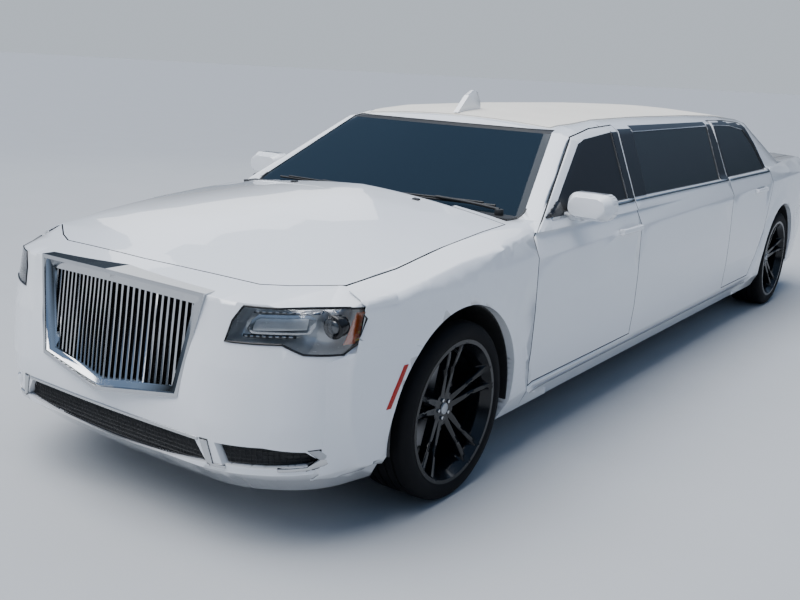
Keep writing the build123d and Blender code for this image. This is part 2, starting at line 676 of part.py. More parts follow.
# Exhaust.
pipe_radius = 27
pipe_z = floor_top - pan_wall - pipe_radius
pipe = Pos(150, fy(700), pipe_z) * Rot(-90, 0, 0) * Cylinder(
    pipe_radius, ry(560) - fy(700), align=(Align.CENTER, Align.CENTER, Align.MIN))
muffler = fillet(block(90, 560, ry(500), ry(830), 236, boot_floor - pan_wall).edges().filter_by(Axis.X), 30)
tail_pipe = Pos(tip_x, ry(800), tip_z) * Rot(-90, 0, 0) * (
    Cylinder(tip_radius, 272, align=(Align.CENTER, Align.CENTER, Align.MIN))
    - Pos(0, 0, 180) * Cylinder(tip_radius - 4, 300, align=(Align.CENTER, Align.CENTER, Align.MIN)))
pieces["exhaust"] = pair(pipe + muffler + tail_pipe)

# Inside.
seat_side = [(30, 0), (0, 140), (16, 275), (430, 235), (565, 800), (610, 840), (670, 820), (690, 770),
             (575, 300), (560, 0)]


def seat(y, x_from, x_to, head_xs):
    line = [(y + a, floor_top + b) for a, b in seat_side]
    body_part = side_prism(line, x_from, x_to)
    heads = [block(x - 130, x + 130, y + 600, y + 680, floor_top + 835, floor_top + 985) for x in head_xs]
    return body_part + heads


pieces["front_seats"] = pair(seat(fy(1220), 170, 690, (430,)))
pieces["rear_bench"] = seat(ry(bulkhead[0] - 692), -580, 580, (-360, 360))
bench_line = [(-780, floor_top), (-780, 1000), (-740, 1030), (-690, 1000), (-620, 560), (-270, 580), (-240, 540),
              (-260, floor_top)]
pieces["side_bench"] = end_prism(bench_line, fy(2060), ry(-1450))
pieces["bar_cabinet"] = block(520, 780, fy(2060), ry(-1450), floor_top, 800)
dash_line = front([(640, 640), (640, 1000), (760, 1012), (905, 965), (935, 880), (880, 740), (760, 640)])
pieces["dashboard"] = side_prism(dash_line, -740, 740)
wheel_spot = Pos(400, fy(1020), 905) * Rot(-62, 0, 0)
wheel_rim = revolve(Plane.XZ * Pos(180, 0) * RegularPolygon(16, 6), Axis.Z)
hub_disc = Cylinder(48, 34)
wheel_spokes = [Rot(0, 0, a) * block(0, 176, -16, 16, -9, 9) for a in (0, 180, 270)]
column = Pos(0, 0, -150) * Cylinder(30, 300)
wheel = wheel_spot * (wheel_rim + hub_disc + wheel_spokes + column)
pieces["steering_wheel"] = wheel - pieces["dashboard"]

for name in [n for n in pieces if n.endswith("_left")]:
    pieces[name.replace("_left", "_right")] = mirror(pieces[name], about=Plane.YZ)
for name, part in pieces.items():
    save(name, part)
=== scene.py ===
import json
from math import ceil, cos, pi, radians, sin

import bpy
from mathutils import Matrix, Vector
from mathutils.bvhtree import BVHTree


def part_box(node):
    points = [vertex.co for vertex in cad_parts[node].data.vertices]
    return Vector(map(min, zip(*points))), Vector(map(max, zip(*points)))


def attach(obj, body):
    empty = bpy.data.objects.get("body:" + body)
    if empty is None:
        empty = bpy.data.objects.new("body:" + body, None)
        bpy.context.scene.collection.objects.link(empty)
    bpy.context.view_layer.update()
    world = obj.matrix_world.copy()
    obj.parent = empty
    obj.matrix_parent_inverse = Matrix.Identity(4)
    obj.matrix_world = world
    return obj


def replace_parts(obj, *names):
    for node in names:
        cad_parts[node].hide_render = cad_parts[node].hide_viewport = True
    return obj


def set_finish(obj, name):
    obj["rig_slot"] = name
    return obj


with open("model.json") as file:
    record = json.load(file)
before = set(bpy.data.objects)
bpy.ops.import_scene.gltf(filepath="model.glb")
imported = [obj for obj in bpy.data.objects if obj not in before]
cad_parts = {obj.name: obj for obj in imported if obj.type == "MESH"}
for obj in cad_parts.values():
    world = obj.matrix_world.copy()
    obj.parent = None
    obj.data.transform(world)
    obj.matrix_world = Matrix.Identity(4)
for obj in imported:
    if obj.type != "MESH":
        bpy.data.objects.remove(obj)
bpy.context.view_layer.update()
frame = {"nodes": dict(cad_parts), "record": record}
print("frame loaded")

nodeBody = {node: body for body, nodes in frame["record"]["behaviour"]["bodies"].items() for node in nodes}
nodeSlot = {part["node"]: part["material_slot"] for part in frame["record"]["subparts"]}


def middleOf(node):
    low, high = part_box(node)
    return (low + high) / 2


frontAxle = middleOf("tyre_front_left")
rearAxle = middleOf("tyre_rear_left")


def fromFront(distance):  # Y of a place given in metres behind the front axle
    return frontAxle.y + distance


# Camera at the photograph's place.
cameraPlace = {
    "spot": (2.7499, -5.4456, 1.6666), "yaw": 124.574, "pitch": -13.673, "roll": 3.086,
    "lens": 43.36, "far": 200,
}


def makeCamera(place):
    yaw, pitch, roll = (radians(place[angle]) for angle in ("yaw", "pitch", "roll"))
    ahead = Vector((cos(yaw) * cos(pitch), sin(yaw) * cos(pitch), sin(pitch)))
    across = ahead.cross(Vector((0, 0, 1))).normalized()
    above = across.cross(ahead)
    turned = across * cos(roll) + above * sin(roll)
    raised = above * cos(roll) - across * sin(roll)
    bpy.ops.object.camera_add()
    camera = bpy.context.object
    turning = Matrix((turned, raised, -ahead)).transposed().to_4x4()
    camera.matrix_world = Matrix.Translation(place["spot"]) @ turning
    camera.data.lens = place["lens"]
    camera.data.clip_end = place["far"]
    bpy.context.scene.camera = camera


makeCamera(cameraPlace)
print("camera placed")


class Wire:  # a socket in a material: + - * < > and abs() on it add Math nodes
    def __init__(self, tree, socket=None):
        self.tree = tree
        self.socket = socket

    def node(self, kind, settings=None, inputs=None, output=0):
        made = self.tree.nodes.new("ShaderNode" + kind)
        for name, value in (settings or {}).items():
            setattr(made, name, value)
        for name, value in (inputs or {}).items():
            if isinstance(value, Wire):
                self.tree.links.new(value.socket, made.inputs[name])
            else:
                made.inputs[name].default_value = value
        return Wire(self.tree, made.outputs[output])

    def maths(self, operation, first, second):
        return self.node("Math", {"operation": operation}, {0: first, 1: second})

    def __add__(self, other):
        return self.maths("ADD", self, other)

    def __radd__(self, other):
        return self.maths("ADD", other, self)

    def __sub__(self, other):
        return self.maths("SUBTRACT", self, other)

    def __rsub__(self, other):
        return self.maths("SUBTRACT", other, self)

    def __mul__(self, other):
        return self.maths("MULTIPLY", self, other)

    def __gt__(self, other):
        return self.maths("GREATER_THAN", self, other)

    def __lt__(self, other):
        return self.maths("LESS_THAN", self, other)

    def __abs__(self):
        return self.node("Math", {"operation": "ABSOLUTE"}, {0: self})

    def clamped(self):
        return self.node("Clamp", inputs={0: self})


def place(wire):
    return wire.node("TexCoord", output="Object")


def along(wire, axis):
    return wire.node("SeparateXYZ", inputs={0: place(wire)}, output=axis)


def clouds(wire, scale, detail=4):
    return wire.node("TexNoise", inputs={"Vector": place(wire), "Scale": scale, "Detail": detail})


def cells(wire, scale, feature="F1"):
    return wire.node("TexVoronoi", {"feature": feature}, {"Vector": place(wire), "Scale": scale})


def streaks(wire, scale, stretch, detail):
    spot = wire.node("Mapping", inputs={"Vector": place(wire), "Scale": stretch})
    return wire.node("TexNoise", inputs={"Vector": spot, "Scale": scale, "Detail": detail})


def between(wire, share, first, second):
    ends = [colour if isinstance(colour, Wire) else (*colour, 1) for colour in (first, second)]
    return wire.node("Mix", {"data_type": "RGBA"}, {0: share, 6: ends[0], 7: ends[1]}, output=2)


def relief(wire, height, strength, depth):
    return wire.node("Bump", inputs={"Height": height, "Strength": strength, "Distance": depth})


def makeFinish(name, fixed, varying):
    material = bpy.data.materials.new(name)
    material.use_nodes = True
    shader = material.node_tree.nodes["Principled BSDF"]
    for socket, value in fixed.items():
        shader.inputs[socket].default_value = value
    for socket, wire in varying(Wire(material.node_tree)).items():
        material.node_tree.links.new(wire.socket, shader.inputs[socket])
    return material


# Looks made of patterns for colour, roughness and relief. A pattern is its kind, its scale and the rest
# of what that kind takes.
patternKinds = {"clouds": clouds, "cells": cells, "streaks": streaks}


def drawing(wire, kind, scale, *rest):
    return patternKinds[kind](wire, scale, *rest)


def patterned(look):
    def surface(wire):
        colouring, dark, light = look["colour"]
        least, span, *others = look["rough"]
        sockets = {
            "Base Color": between(wire, drawing(wire, *colouring), dark, light),
            "Roughness": least + drawing(wire, *(others or [colouring])[0]) * span,
        }
        if "relief" in look:
            strength, depth, *layers = look["relief"]
            height = sum(drawing(wire, *layer) * share for share, layer in layers)
            sockets["Normal"] = relief(wire, height, strength, depth)
        return sockets
    return surface


def opticsLook(dark, light, scale):  # moulded lens with fine optics
    fine = ("cells", scale)
    return {"colour": (fine, dark, light), "rough": (0.08, 0.1), "relief": (0.35, 0.0008, (1, fine))}


looks = {
    # colour: pattern, dark, light
    # rough: least, span, and its pattern if it isn't the colour's
    # relief: strength, depth, then shares with their patterns
    "vinyl": {
        "colour": (("clouds", 5), (0.70, 0.665, 0.59), (0.78, 0.745, 0.67)), "rough": (0.52, 0.16),
        "relief": (0.5, 0.0005, (1, ("cells", 420, "DISTANCE_TO_EDGE")), (0.4, ("clouds", 900)))},
    "chrome": {
        "colour": (("clouds", 14), (0.50, 0.51, 0.52), (0.60, 0.61, 0.62)), "rough": (0.05, 0.07)},
    "darkGlass": {
        "colour": (("clouds", 3), (0.010, 0.013, 0.016), (0.016, 0.020, 0.022)),
        "rough": (0.02, 0.02, ("clouds", 20))},
    "plastic": {
        "colour": (("clouds", 30), (0.010, 0.010, 0.011), (0.024, 0.024, 0.025)),
        "rough": (0.42, 0.2, ("clouds", 60)), "relief": (0.35, 0.0004, (1, ("cells", 900)))},
    "glossBlack": {
        "colour": (("clouds", 8), (0.005, 0.005, 0.006), (0.010, 0.010, 0.011)),
        "rough": (0.05, 0.06, ("clouds", 12))},
    "rubber": {
        "colour": (("clouds", 22, 6), (0.004, 0.004, 0.005), (0.012, 0.012, 0.013)),
        "rough": (0.62, 0.22), "relief": (0.4, 0.0003, (1, ("clouds", 700, 2)))},
    "rim": {
        "colour": (("clouds", 18, 6), (0.002, 0.0025, 0.004), (0.006, 0.007, 0.009)),
        "rough": (0.10, 0.10)},
    "iron": {
        "colour": (("streaks", 6, (0.2, 60, 60), 3), (0.20, 0.20, 0.205), (0.42, 0.42, 0.43)),
        "rough": (0.26, 0.2), "relief": (0.2, 0.0003, (1, ("streaks", 6, (0.2, 60, 60), 3)))},
    "underseal": {
        "colour": (("clouds", 4, 6), (0.012, 0.012, 0.012), (0.05, 0.045, 0.04)),
        "rough": (0.7, 0.2, ("clouds", 10)), "relief": (0.6, 0.0015, (1, ("cells", 160)))},
    "steel": {
        "colour": (("clouds", 7, 6), (0.02, 0.02, 0.021), (0.06, 0.057, 0.052)),
        "rough": (0.42, 0.2, ("clouds", 24)), "relief": (0.3, 0.0005, (1, ("clouds", 260)))},
    "cast": {
        "colour": (("clouds", 9, 5), (0.13, 0.13, 0.132), (0.26, 0.255, 0.25)),
        "rough": (0.48, 0.2, ("clouds", 190, 5)), "relief": (0.6, 0.0012, (1, ("clouds", 190, 5)))},
    "exhaust": {
        "colour": (("clouds", 3), (0.30, 0.27, 0.23), (0.50, 0.50, 0.51)),
        "rough": (0.24, 0.2, ("streaks", 3, (40, 1.5, 40), 4))},
    "leather": {
        "colour": (("clouds", 11, 6), (0.014, 0.014, 0.015), (0.034, 0.032, 0.032)),
        "rough": (0.38, 0.2),
        "relief": (0.5, 0.0009, (1, ("cells", 330, "DISTANCE_TO_EDGE")), (2.5, ("clouds", 11, 6)))},
    "wood": {
        "colour": (("streaks", 2.2, (30, 2.4, 30), 8), (0.028, 0.010, 0.004), (0.16, 0.065, 0.024)),
        "rough": (0.16, 0.08)},
    "redLens": {
        "colour": (("cells", 150), (0.30, 0.004, 0.004), (0.50, 0.012, 0.010)),
        "rough": (0.08, 0.04, ("clouds", 20)), "relief": (0.35, 0.001, (1, ("cells", 150)))},
    "amber": {
        "colour": (("cells", 260), (0.62, 0.10, 0.008), (0.80, 0.17, 0.015)),
        "rough": (0.10, 0.12), "relief": (0.4, 0.001, (1, ("cells", 260)))},
    "silver": {
        "colour": (("clouds", 40), (0.60, 0.62, 0.63), (0.72, 0.74, 0.75)),
        "rough": (0.22, 0.08, ("clouds", 60))},
    "capGrey": {
        "colour": (("clouds", 20), (0.40, 0.41, 0.42), (0.50, 0.51, 0.52)),
        "rough": (0.3, 0.1, ("clouds", 30))},
    "floor": {
        "colour": (("clouds", 1.5), (0.41, 0.42, 0.43), (0.44, 0.45, 0.46)),
        "rough": (0.6, 0.1, ("clouds", 8))},
    "marker": opticsLook((0.30, 0.005, 0.003), (0.46, 0.014, 0.006), 260),
    "dots": opticsLook((0.75, 0.42, 0.03), (0.90, 0.60, 0.08), 400),
    "tail": opticsLook((0.50, 0.012, 0.010), (0.72, 0.03, 0.02), 200),
    "projector": opticsLook((0.02, 0.024, 0.03), (0.05, 0.06, 0.07), 60),
    "plate": opticsLook((0.70, 0.70, 0.69), (0.78, 0.78, 0.77), 30),
}
paintLook = {
    # the near-black colour below is for marked walls: painted shade in the shut lines, dark trim on walls
    # facing the cabin
    "clean": (0.83, 0.845, 0.87), "dusty": (0.72, 0.71, 0.69), "shadeAndTrim": (0.006, 0.006, 0.007),
    "dustTop": 0.42, "dustScale": 9, "dustGain": 1.6, "rough": 0.20, "roughScale": 6, "roughSpan": 0.06,
    "gapRough": 0.5, "peelScale": 420, "peelDetail": 2, "peelStrength": 0.25, "peelDepth": 0.00004,
}


def paintSurface(wire):
    dust = (paintLook["dustTop"] - along(wire, 2)) * clouds(wire, paintLook["dustScale"])
    dusted = (dust * paintLook["dustGain"]).clamped()
    painted = between(wire, dusted, paintLook["clean"], paintLook["dusty"])
    # the mark picks the near-black colour: painted shade in the shut lines, dark trim on walls facing the
    # cabin
    shadeAndTrim = wire.node("Attribute", {"attribute_name": "paintedShadeAndTrimFace"}, output="Fac")  # 1 on a marked wall
    clouded = clouds(wire, paintLook["roughScale"]) * paintLook["roughSpan"]
    peel = clouds(wire, paintLook["peelScale"], paintLook["peelDetail"])
    return {
        "Base Color": between(wire, shadeAndTrim, painted, paintLook["shadeAndTrim"]),
        "Roughness": paintLook["rough"] + clouded + shadeAndTrim * paintLook["gapRough"],
        "Coat Weight": 1 - shadeAndTrim,
        "Normal": relief(wire, peel, paintLook["peelStrength"], paintLook["peelDepth"]),
    }


paneLook = {"rimBlend": 0.25, "alpha": 0.90, "alphaSpan": 0.10}
lensLook = {"rough": 0.015, "roughScale": 30, "roughSpan": 0.01, "alpha": 0.03, "alphaSpan": 0.9, "index": 1.5}


def paneRim(wire):
    return wire.node("LayerWeight", inputs={"Blend": paneLook["rimBlend"]}, output="Fresnel")


def darkGlassSurface(wire):
    alpha = paneLook["alpha"] + paneRim(wire) * paneLook["alphaSpan"]
    return {**patterned(looks["darkGlass"])(wire), "Alpha": alpha}


screenLook = {
    # black border: half width at its foot, fall of that width with height, lower and upper edge
    "footHalf": 0.805, "lean": 0.535, "footZ": 1.046, "topZ": 1.378, "borderRough": 0.4,
    "glass": (0.010, 0.018, 0.026), "border": (0.003, 0.003, 0.004),
    "rough": 0.02, "roughScale": 20, "roughSpan": 0.02, "clear": 0.82, "clearSpan": 0.18,
}


def screenSurface(wire):
    height = along(wire, 2)
    halfWidth = screenLook["footHalf"] - (height - screenLook["footZ"]) * screenLook["lean"]
    edge = abs(along(wire, 0)) > halfWidth
    border = (edge + (height < screenLook["footZ"]) + (height > screenLook["topZ"])).clamped()
    clear = screenLook["clear"] + paneRim(wire) * screenLook["clearSpan"]
    clouded = clouds(wire, screenLook["roughScale"]) * screenLook["roughSpan"]
    return {
        "Base Color": between(wire, border, screenLook["glass"], screenLook["border"]),
        "Roughness": screenLook["rough"] + clouded + border * screenLook["borderRough"],
        "Alpha": clear + border * (1 - clear),
    }


def clearLensSurface(wire):
    rim = wire.node("Fresnel", inputs={"IOR": lensLook["index"]})
    return {
        "Roughness": lensLook["rough"] + clouds(wire, lensLook["roughScale"]) * lensLook["roughSpan"],
        "Alpha": lensLook["alpha"] + rim * lensLook["alphaSpan"],
    }


coated = {"Coat Weight": 1.0, "Coat Roughness": 0.02}
metal = {"Metallic": 1.0}
slotRows = (
    # slot, name of the material, fixed sockets, look or surface
    ("paint", "whitePaint", coated, paintSurface),
    ("frame_paint", "framePaint", coated, paintSurface),
    ("underbody", "underseal", {}, "underseal"),
    ("screen_glass", "tintedGlass", {"IOR": 1.5}, screenSurface),
    ("dark_glass", "privacyGlass", {"IOR": 1.5}, darkGlassSurface),
    ("vinyl", "creamVinyl", {"Sheen Weight": 0.1}, "vinyl"),
    ("black_plastic", "blackPlastic", {}, "plastic"),
    ("lamp_clear", "clearLens", {"Base Color": (1, 1, 1, 1), **metal}, clearLensSurface),
    ("lamp_red", "redLens", coated, "redLens"),
    ("black_mesh", "blackMesh", {}, "plastic"),
    ("chrome", "polishedChrome", metal, "chrome"),
    ("black_metal", "blackMetal", {}, "steel"),
    ("steel", "chassisBlack", {}, "steel"),
    ("cast_metal", "castMetal", {"Metallic": 0.8}, "cast"),
    ("exhaust_steel", "exhaustSteel", metal, "exhaust"),
    ("upholstery", "blackLeather", {}, "leather"),
    ("cabinet_wood", "darkVeneer", coated, "wood"),
    ("dash_plastic", "dashPlastic", {}, "plastic"),
    ("tyre_rubber", "tyreRubber", {"Specular IOR Level": 0.12}, "rubber"),
    ("black_rim", "glossBlackRim", {"Specular IOR Level": 0.35}, "rim"),
    ("disc_iron", "discIron", metal, "iron"),
)
trimRows = (
    # key, slot, name of the material, fixed sockets, look
    ("glossBlack", "black_plastic", "glossBlackTrim", {"Specular IOR Level": 0.4}, "glossBlack"),
    ("amberLens", "lamp_red", "amberLens", coated, "amber"),
    ("silverBowl", "chrome", "silverReflector", {"Metallic": 0.45}, "silver"),
    ("capGrey", "chrome", "greyCap", {"Metallic": 0.4}, "capGrey"),
    ("redMarker", "lamp_red", "redMarker", {"Specular IOR Level": 0.3}, "marker"),
    ("dotYellow", "lamp_red", "yellowDots", coated, "dots"),
    ("tailBright", "lamp_red", "brightRedLens", coated, "tail"),
    ("projectorGlass", "lamp_clear", "projectorGlass", {"IOR": 1.6, "Coat Weight": 1.0}, "projector"),
    ("plateWhite", "paint", "plateWhite", {}, "plate"),
)
finishes = {}
for key, slot, name, fixed, surface in [(row[0], *row) for row in slotRows] + list(trimRows):
    varying = patterned(looks[surface]) if surface in looks else surface
    finishes[key] = (makeFinish(name, fixed, varying), slot)
for node, body in frame["nodes"].items():
    body.data.materials.clear()
    body.data.materials.append(finishes[nodeSlot[node]][0])
print("finishes made")


# Modelling helpers.
modelling = {"weld": 0.00002, "sharp": 40, "standOff": 0.05, "missed": 0.0001, "jump": 0.005, "rounds": 150}


def onlySelect(*pieces):
    if bpy.context.object and bpy.context.object.mode != "OBJECT":
        bpy.ops.object.mode_set(mode="OBJECT")
    bpy.ops.object.select_all(action="DESELECT")
    for piece in pieces:
        piece.select_set(True)
        bpy.context.view_layer.objects.active = piece


def editing(piece, mode="VERT"):
    onlySelect(piece)
    bpy.ops.object.mode_set(mode="EDIT")
    bpy.ops.mesh.select_mode(type=mode)


def editAll(piece, mode="VERT"):
    editing(piece, mode)
    bpy.ops.mesh.select_all(action="SELECT")


def leaveEdit():
    bpy.ops.object.mode_set(mode="OBJECT")


def pick(piece, kind, test):  # selects faces, edges or vertices by a test on each one
    editing(piece, kind)
    bpy.ops.mesh.select_all(action="DESELECT")
    leaveEdit()
    parts = {"FACE": piece.data.polygons, "EDGE": piece.data.edges, "VERT": piece.data.vertices}[kind]
    for part in parts:
        part.select = test(part)
    editing(piece, kind)


def settle(piece, kind, **settings):  # adds a modifier and applies it
    onlySelect(piece)
    modifier = piece.modifiers.new(kind.title(), kind)
    for name, value in settings.items():
        setattr(modifier, name, value)
    bpy.ops.object.modifier_apply(modifier=modifier.name)


def bevel(piece, width, segments=2, sharp=modelling["sharp"]):
    settle(piece, "BEVEL", width=width, segments=segments, limit_method="ANGLE", angle_limit=radians(sharp))


def applyPlace():
    bpy.ops.object.transform_apply(location=True, rotation=True, scale=True)


def finishPiece(piece, name, body, finish, smooth=40):
    material, slot = finishes[finish]
    onlySelect(piece)
    applyPlace()
    if smooth:
        bpy.ops.object.shade_smooth_by_angle(angle=radians(smooth))
    piece.name = name
    piece.data.name = name
    piece.data.materials.clear()
    piece.data.materials.append(material)
    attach(piece, body)
    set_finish(piece, slot)
    return piece


def added(name, data):
    piece = bpy.data.objects.new(name, data)
    bpy.context.scene.collection.objects.link(piece)
    return piece


def twin(piece, name, body):  # mirror image for the car's right side
    copy = added(name, piece.data.copy())
    mirrored(copy)
    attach(copy, body)
    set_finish(copy, piece["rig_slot"])


def mirrored(piece):
    piece.data.transform(Matrix.Scale(-1, 4, (1, 0, 0)))
    piece.data.flip_normals()


def bothSides(piece, name, body, finish, smooth=40):  # left piece and its twin, each on its side's body
    left = finishPiece(piece, name + "_left", body.replace("SIDE", "left"), finish, smooth)
    twin(left, name + "_right", body.replace("SIDE", "right"))


def mergedCopy(node):
    copy = added(node + "_copy", frame["nodes"][node].data.copy())
    editAll(copy)
    bpy.ops.mesh.remove_doubles(threshold=modelling["weld"])
    leaveEdit()
    return copy


def smoothSkin(node, angle):  # a smooth-shaded copy that stands for its node
    piece = mergedCopy(node)
    finishPiece(piece, node + "_skin", nodeBody[node], nodeSlot[node], angle)
    settle(piece, "WEIGHTED_NORMAL", keep_sharp=True, weight=60)
    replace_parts(piece, node)


def skinOf(node):
    return bpy.data.objects[node + "_skin"]


skinAngles = {
    "fenders": 28, "front_bumper": 28, "quarter_panels": 28, "rear_bumper": 28, "stretch_panels": 28,
    "roof": 28, "bonnet": 28, "boot_lid": 28, "body_frame": 28, "rear_frame": 28, "windscreen": 28,
    "rear_window": 28, "stretch_windows": 28, "vinyl_roof": 28, "roof_antenna": 40, "grille": 24,
    "tail_lamps": 28, "lower_intake": 28, "exhaust": 35, "steering_wheel": 35, "rear_axle": 35,
    "wheel_liners": 30,
}
for side in ("left", "right"):
    for node in ("front_door", "rear_door", "front_door_glass", "rear_door_glass"):
        skinAngles[f"{node}_{side}"] = 28
    skinAngles[f"mirror_{side}"] = 50
    skinAngles[f"knuckle_{side}"] = 35
    for end in ("front", "rear"):
        skinAngles[f"rim_{end}_{side}"] = 32
        skinAngles[f"brake_disc_{end}_{side}"] = 32
for node, angle in skinAngles.items():
    smoothSkin(node, angle)
print("skins smoothed")

# Walls inside the shut lines are marked, and the paint shows them near-black as painted shade in the gaps.
# Walls that look at the cabin are marked too and show dark, as trim and as painted shade behind the door
# handles.
shutLines = {"reach": 0.012, "start": 0.0004}
innerFaces = {"height": 1.0, "least": 0.45, "quarterLow": 1.05}
doors = [f"{end}_door_{side}" for end in ("front", "rear") for side in ("left", "right")]
panels = ["fenders", "front_bumper", "quarter_panels", "rear_bumper", "stretch_panels", "roof", "bonnet",
          "boot_lid", "body_frame"] + doors


# faces in the shut lines get the mark, which the paint shows as painted shade
def markShutShadeFaces():
    corners, faces, owners = [], [], []
    for node in panels:
        mesh = frame["nodes"][node].data
        faces += [tuple(len(corners) + i for i in face.vertices) for face in mesh.polygons]
        owners += [node] * len(mesh.polygons)
        corners += [vertex.co[:] for vertex in mesh.vertices]
    tree = BVHTree.FromPolygons(corners, faces)
    for node in panels:
        mesh = skinOf(node).data
        mark = mesh.attributes.new("paintedShadeAndTrimFace", "FLOAT", "FACE")
        for face in mesh.polygons:
            start = face.center + face.normal * shutLines["start"]
            index = tree.ray_cast(start, face.normal, shutLines["reach"])[2]
            if index is not None and nodeBody[owners[index]] != nodeBody[node]:
                mark.data[face.index].value = 1


# faces that look at the cabin get the dark mark: real dark trim and reveals, and painted shade behind the door
# handle grips
def markInnerTrimAndShadeFaces():
    for node in ["roof", "stretch_panels", "quarter_panels"] + doors:
        mesh = skinOf(node).data
        mark = mesh.attributes["paintedShadeAndTrimFace"]
        lowest = innerFaces["quarterLow"] if node == "quarter_panels" else 0
        for face in mesh.polygons:
            inwards = Vector((-face.center.x, 0, innerFaces["height"] - face.center.z)).normalized()
            if face.normal.dot(inwards) > innerFaces["least"] and face.center.z > lowest:
                mark.data[face.index].value = 1


markShutShadeFaces()
markInnerTrimAndShadeFaces()
print("shut lines marked")


# Sheets cut to an outline and laid on a surface, seen from one side.
sights = {
    # turn of the flat sheet, axis of sight, end of that axis where the viewer stands
    "front": (Matrix(((1, 0, 0), (0, 0, -1), (0, 1, 0))).to_4x4(), 1, -1),
    "rear": (Matrix(((1, 0, 0), (0, 0, 1), (0, 1, 0))).to_4x4(), 1, 1),
    "side": (Matrix(((0, 0, 1), (1, 0, 0), (0, 1, 0))).to_4x4(), 0, 1),
    "top": (Matrix.Identity(4), 2, 1),
}


def flatSheet(outline, step):  # convex outline, cut from a grid
    lowU, highU = min(u for u, v in outline), max(u for u, v in outline)
    lowV, highV = min(v for u, v in outline), max(v for u, v in outline)
    onlySelect()
    acrossCuts, upCuts = (max(1, ceil(extent / step)) for extent in (highU - lowU, highV - lowV))
    bpy.ops.mesh.primitive_grid_add(x_subdivisions=acrossCuts, y_subdivisions=upCuts, size=1,
                                    location=((lowU + highU) / 2, (lowV + highV) / 2, 0))
    piece = bpy.context.object
    piece.scale = (highU - lowU, highV - lowV, 1)
    applyPlace()
    corners = list(zip(outline, outline[1:] + outline[:1]))
    turning = 1 if sum(a[0] * b[1] - b[0] * a[1] for a, b in corners) > 0 else -1
    editing(piece)
    for here, after in corners:
        bpy.ops.mesh.select_all(action="SELECT")
        outward = (turning * (after[1] - here[1]), turning * (here[0] - after[0]), 0)
        bpy.ops.mesh.bisect(plane_co=(*here, 0), plane_no=outward, clear_outer=True)
    leaveEdit()
    return piece


def eased(piece, axis, end):  # the sheet spans a ledge instead of following it
    points = piece.data.vertices
    near = [[] for point in points]
    for bond in piece.data.edges:
        a, b = bond.vertices
        near[a].append(b)
        near[b].append(a)
    height = [point.co[axis] * end for point in points]
    tops = [max(height[n] for n in near[i]) for i in range(len(points))]
    ground = [top if top - own > modelling["jump"] else own for top, own in zip(tops, height)]
    inner = [i for i in range(len(points)) if len(near[i]) == 4]
    height = ground[:]
    for turn in range(modelling["rounds"]):
        for i in inner:
            height[i] = max(ground[i], sum(height[n] for n in near[i]) / 4)
    for point, value in zip(points, height):
        point.co[axis] = value * end


def drape(outline, sight, target, lift=0.002, thick=0.003, step=0.03, edge=0.0, wire=0.0, ease=False):
    turn, axis, end = sights[sight]
    piece = flatSheet(outline, step)
    piece.data.transform(turn)
    reach = max(vertex.co[axis] * end for vertex in target.data.vertices) + modelling["standOff"]
    shift = Vector((0, 0, 0))
    shift[axis] = reach * end
    piece.data.transform(Matrix.Translation(shift))
    facing = {"use_project_" + "xyz"[axis]: True, "use_positive_direction": end < 0,
              "use_negative_direction": end > 0}
    settle(piece, "SHRINKWRAP", wrap_method="PROJECT", target=target, **facing)
    pick(piece, "VERT", lambda vertex: abs(vertex.co[axis] * end - reach) < modelling["missed"])
    bpy.ops.mesh.delete(type="VERT")
    leaveEdit()
    if ease:
        eased(piece, axis, end)
    shift[axis] = lift * end
    piece.data.transform(Matrix.Translation(shift))
    if wire:
        settle(piece, "WIREFRAME", thickness=wire, use_even_offset=False)
    else:
        sheetNormals(piece, axis, end)
        settle(piece, "SOLIDIFY", thickness=thick, offset=-1)
    if edge:
        bevel(piece, edge)
    return piece


def sheetNormals(piece, axis, end):  # faces of an open sheet all point at its viewer
    editAll(piece, "FACE")
    bpy.ops.mesh.normals_make_consistent(inside=False)
    leaveEdit()
    if sum(face.normal[axis] * face.area for face in piece.data.polygons) * end < 0:
        piece.data.flip_normals()


def rod(points, radius, curved=True):
    curve = bpy.data.curves.new("rod", "CURVE")
    curve.dimensions = "3D"
    spline = curve.splines.new("NURBS" if curved else "POLY")
    spline.points.add(len(points) - 1)
    for knot, spot in zip(spline.points, points):
        knot.co = (*spot, 1)
    spline.order_u = 3
    spline.use_endpoint_u = True
    curve.bevel_depth = radius
    curve.bevel_resolution = 3
    curve.resolution_u = 6
    curve.use_fill_caps = True
    onlySelect(added("rod", curve))
    bpy.ops.object.convert(target="MESH")
    return bpy.context.object


def slab(low, high, edge):
    onlySelect()
    bpy.ops.mesh.primitive_cube_add(size=1, location=[(a + b) / 2 for a, b in zip(low, high)])
    piece = bpy.context.object
    piece.scale = [b - a for a, b in zip(low, high)]
    applyPlace()
    bevel(piece, edge, 3)
    return piece


def disc(spot, radius, thick, axis="X", sides=32, edge=0.001):
    turns = {"X": (0, radians(90), 0), "Y": (radians(90), 0, 0), "Z": (0, 0, 0)}
    onlySelect()
    bpy.ops.mesh.primitive_cylinder_add(vertices=sides, radius=radius, depth=thick, location=spot,
                                        rotation=turns[axis])
    piece = bpy.context.object
    applyPlace()
    bevel(piece, edge)
    return piece


def joined(pieces):
    onlySelect(*pieces)
    bpy.ops.object.join()
    return bpy.context.object


def keepPicked(kind):  # deletes the rest
    bpy.ops.mesh.select_all(action="INVERT")
    bpy.ops.mesh.delete(type=kind)


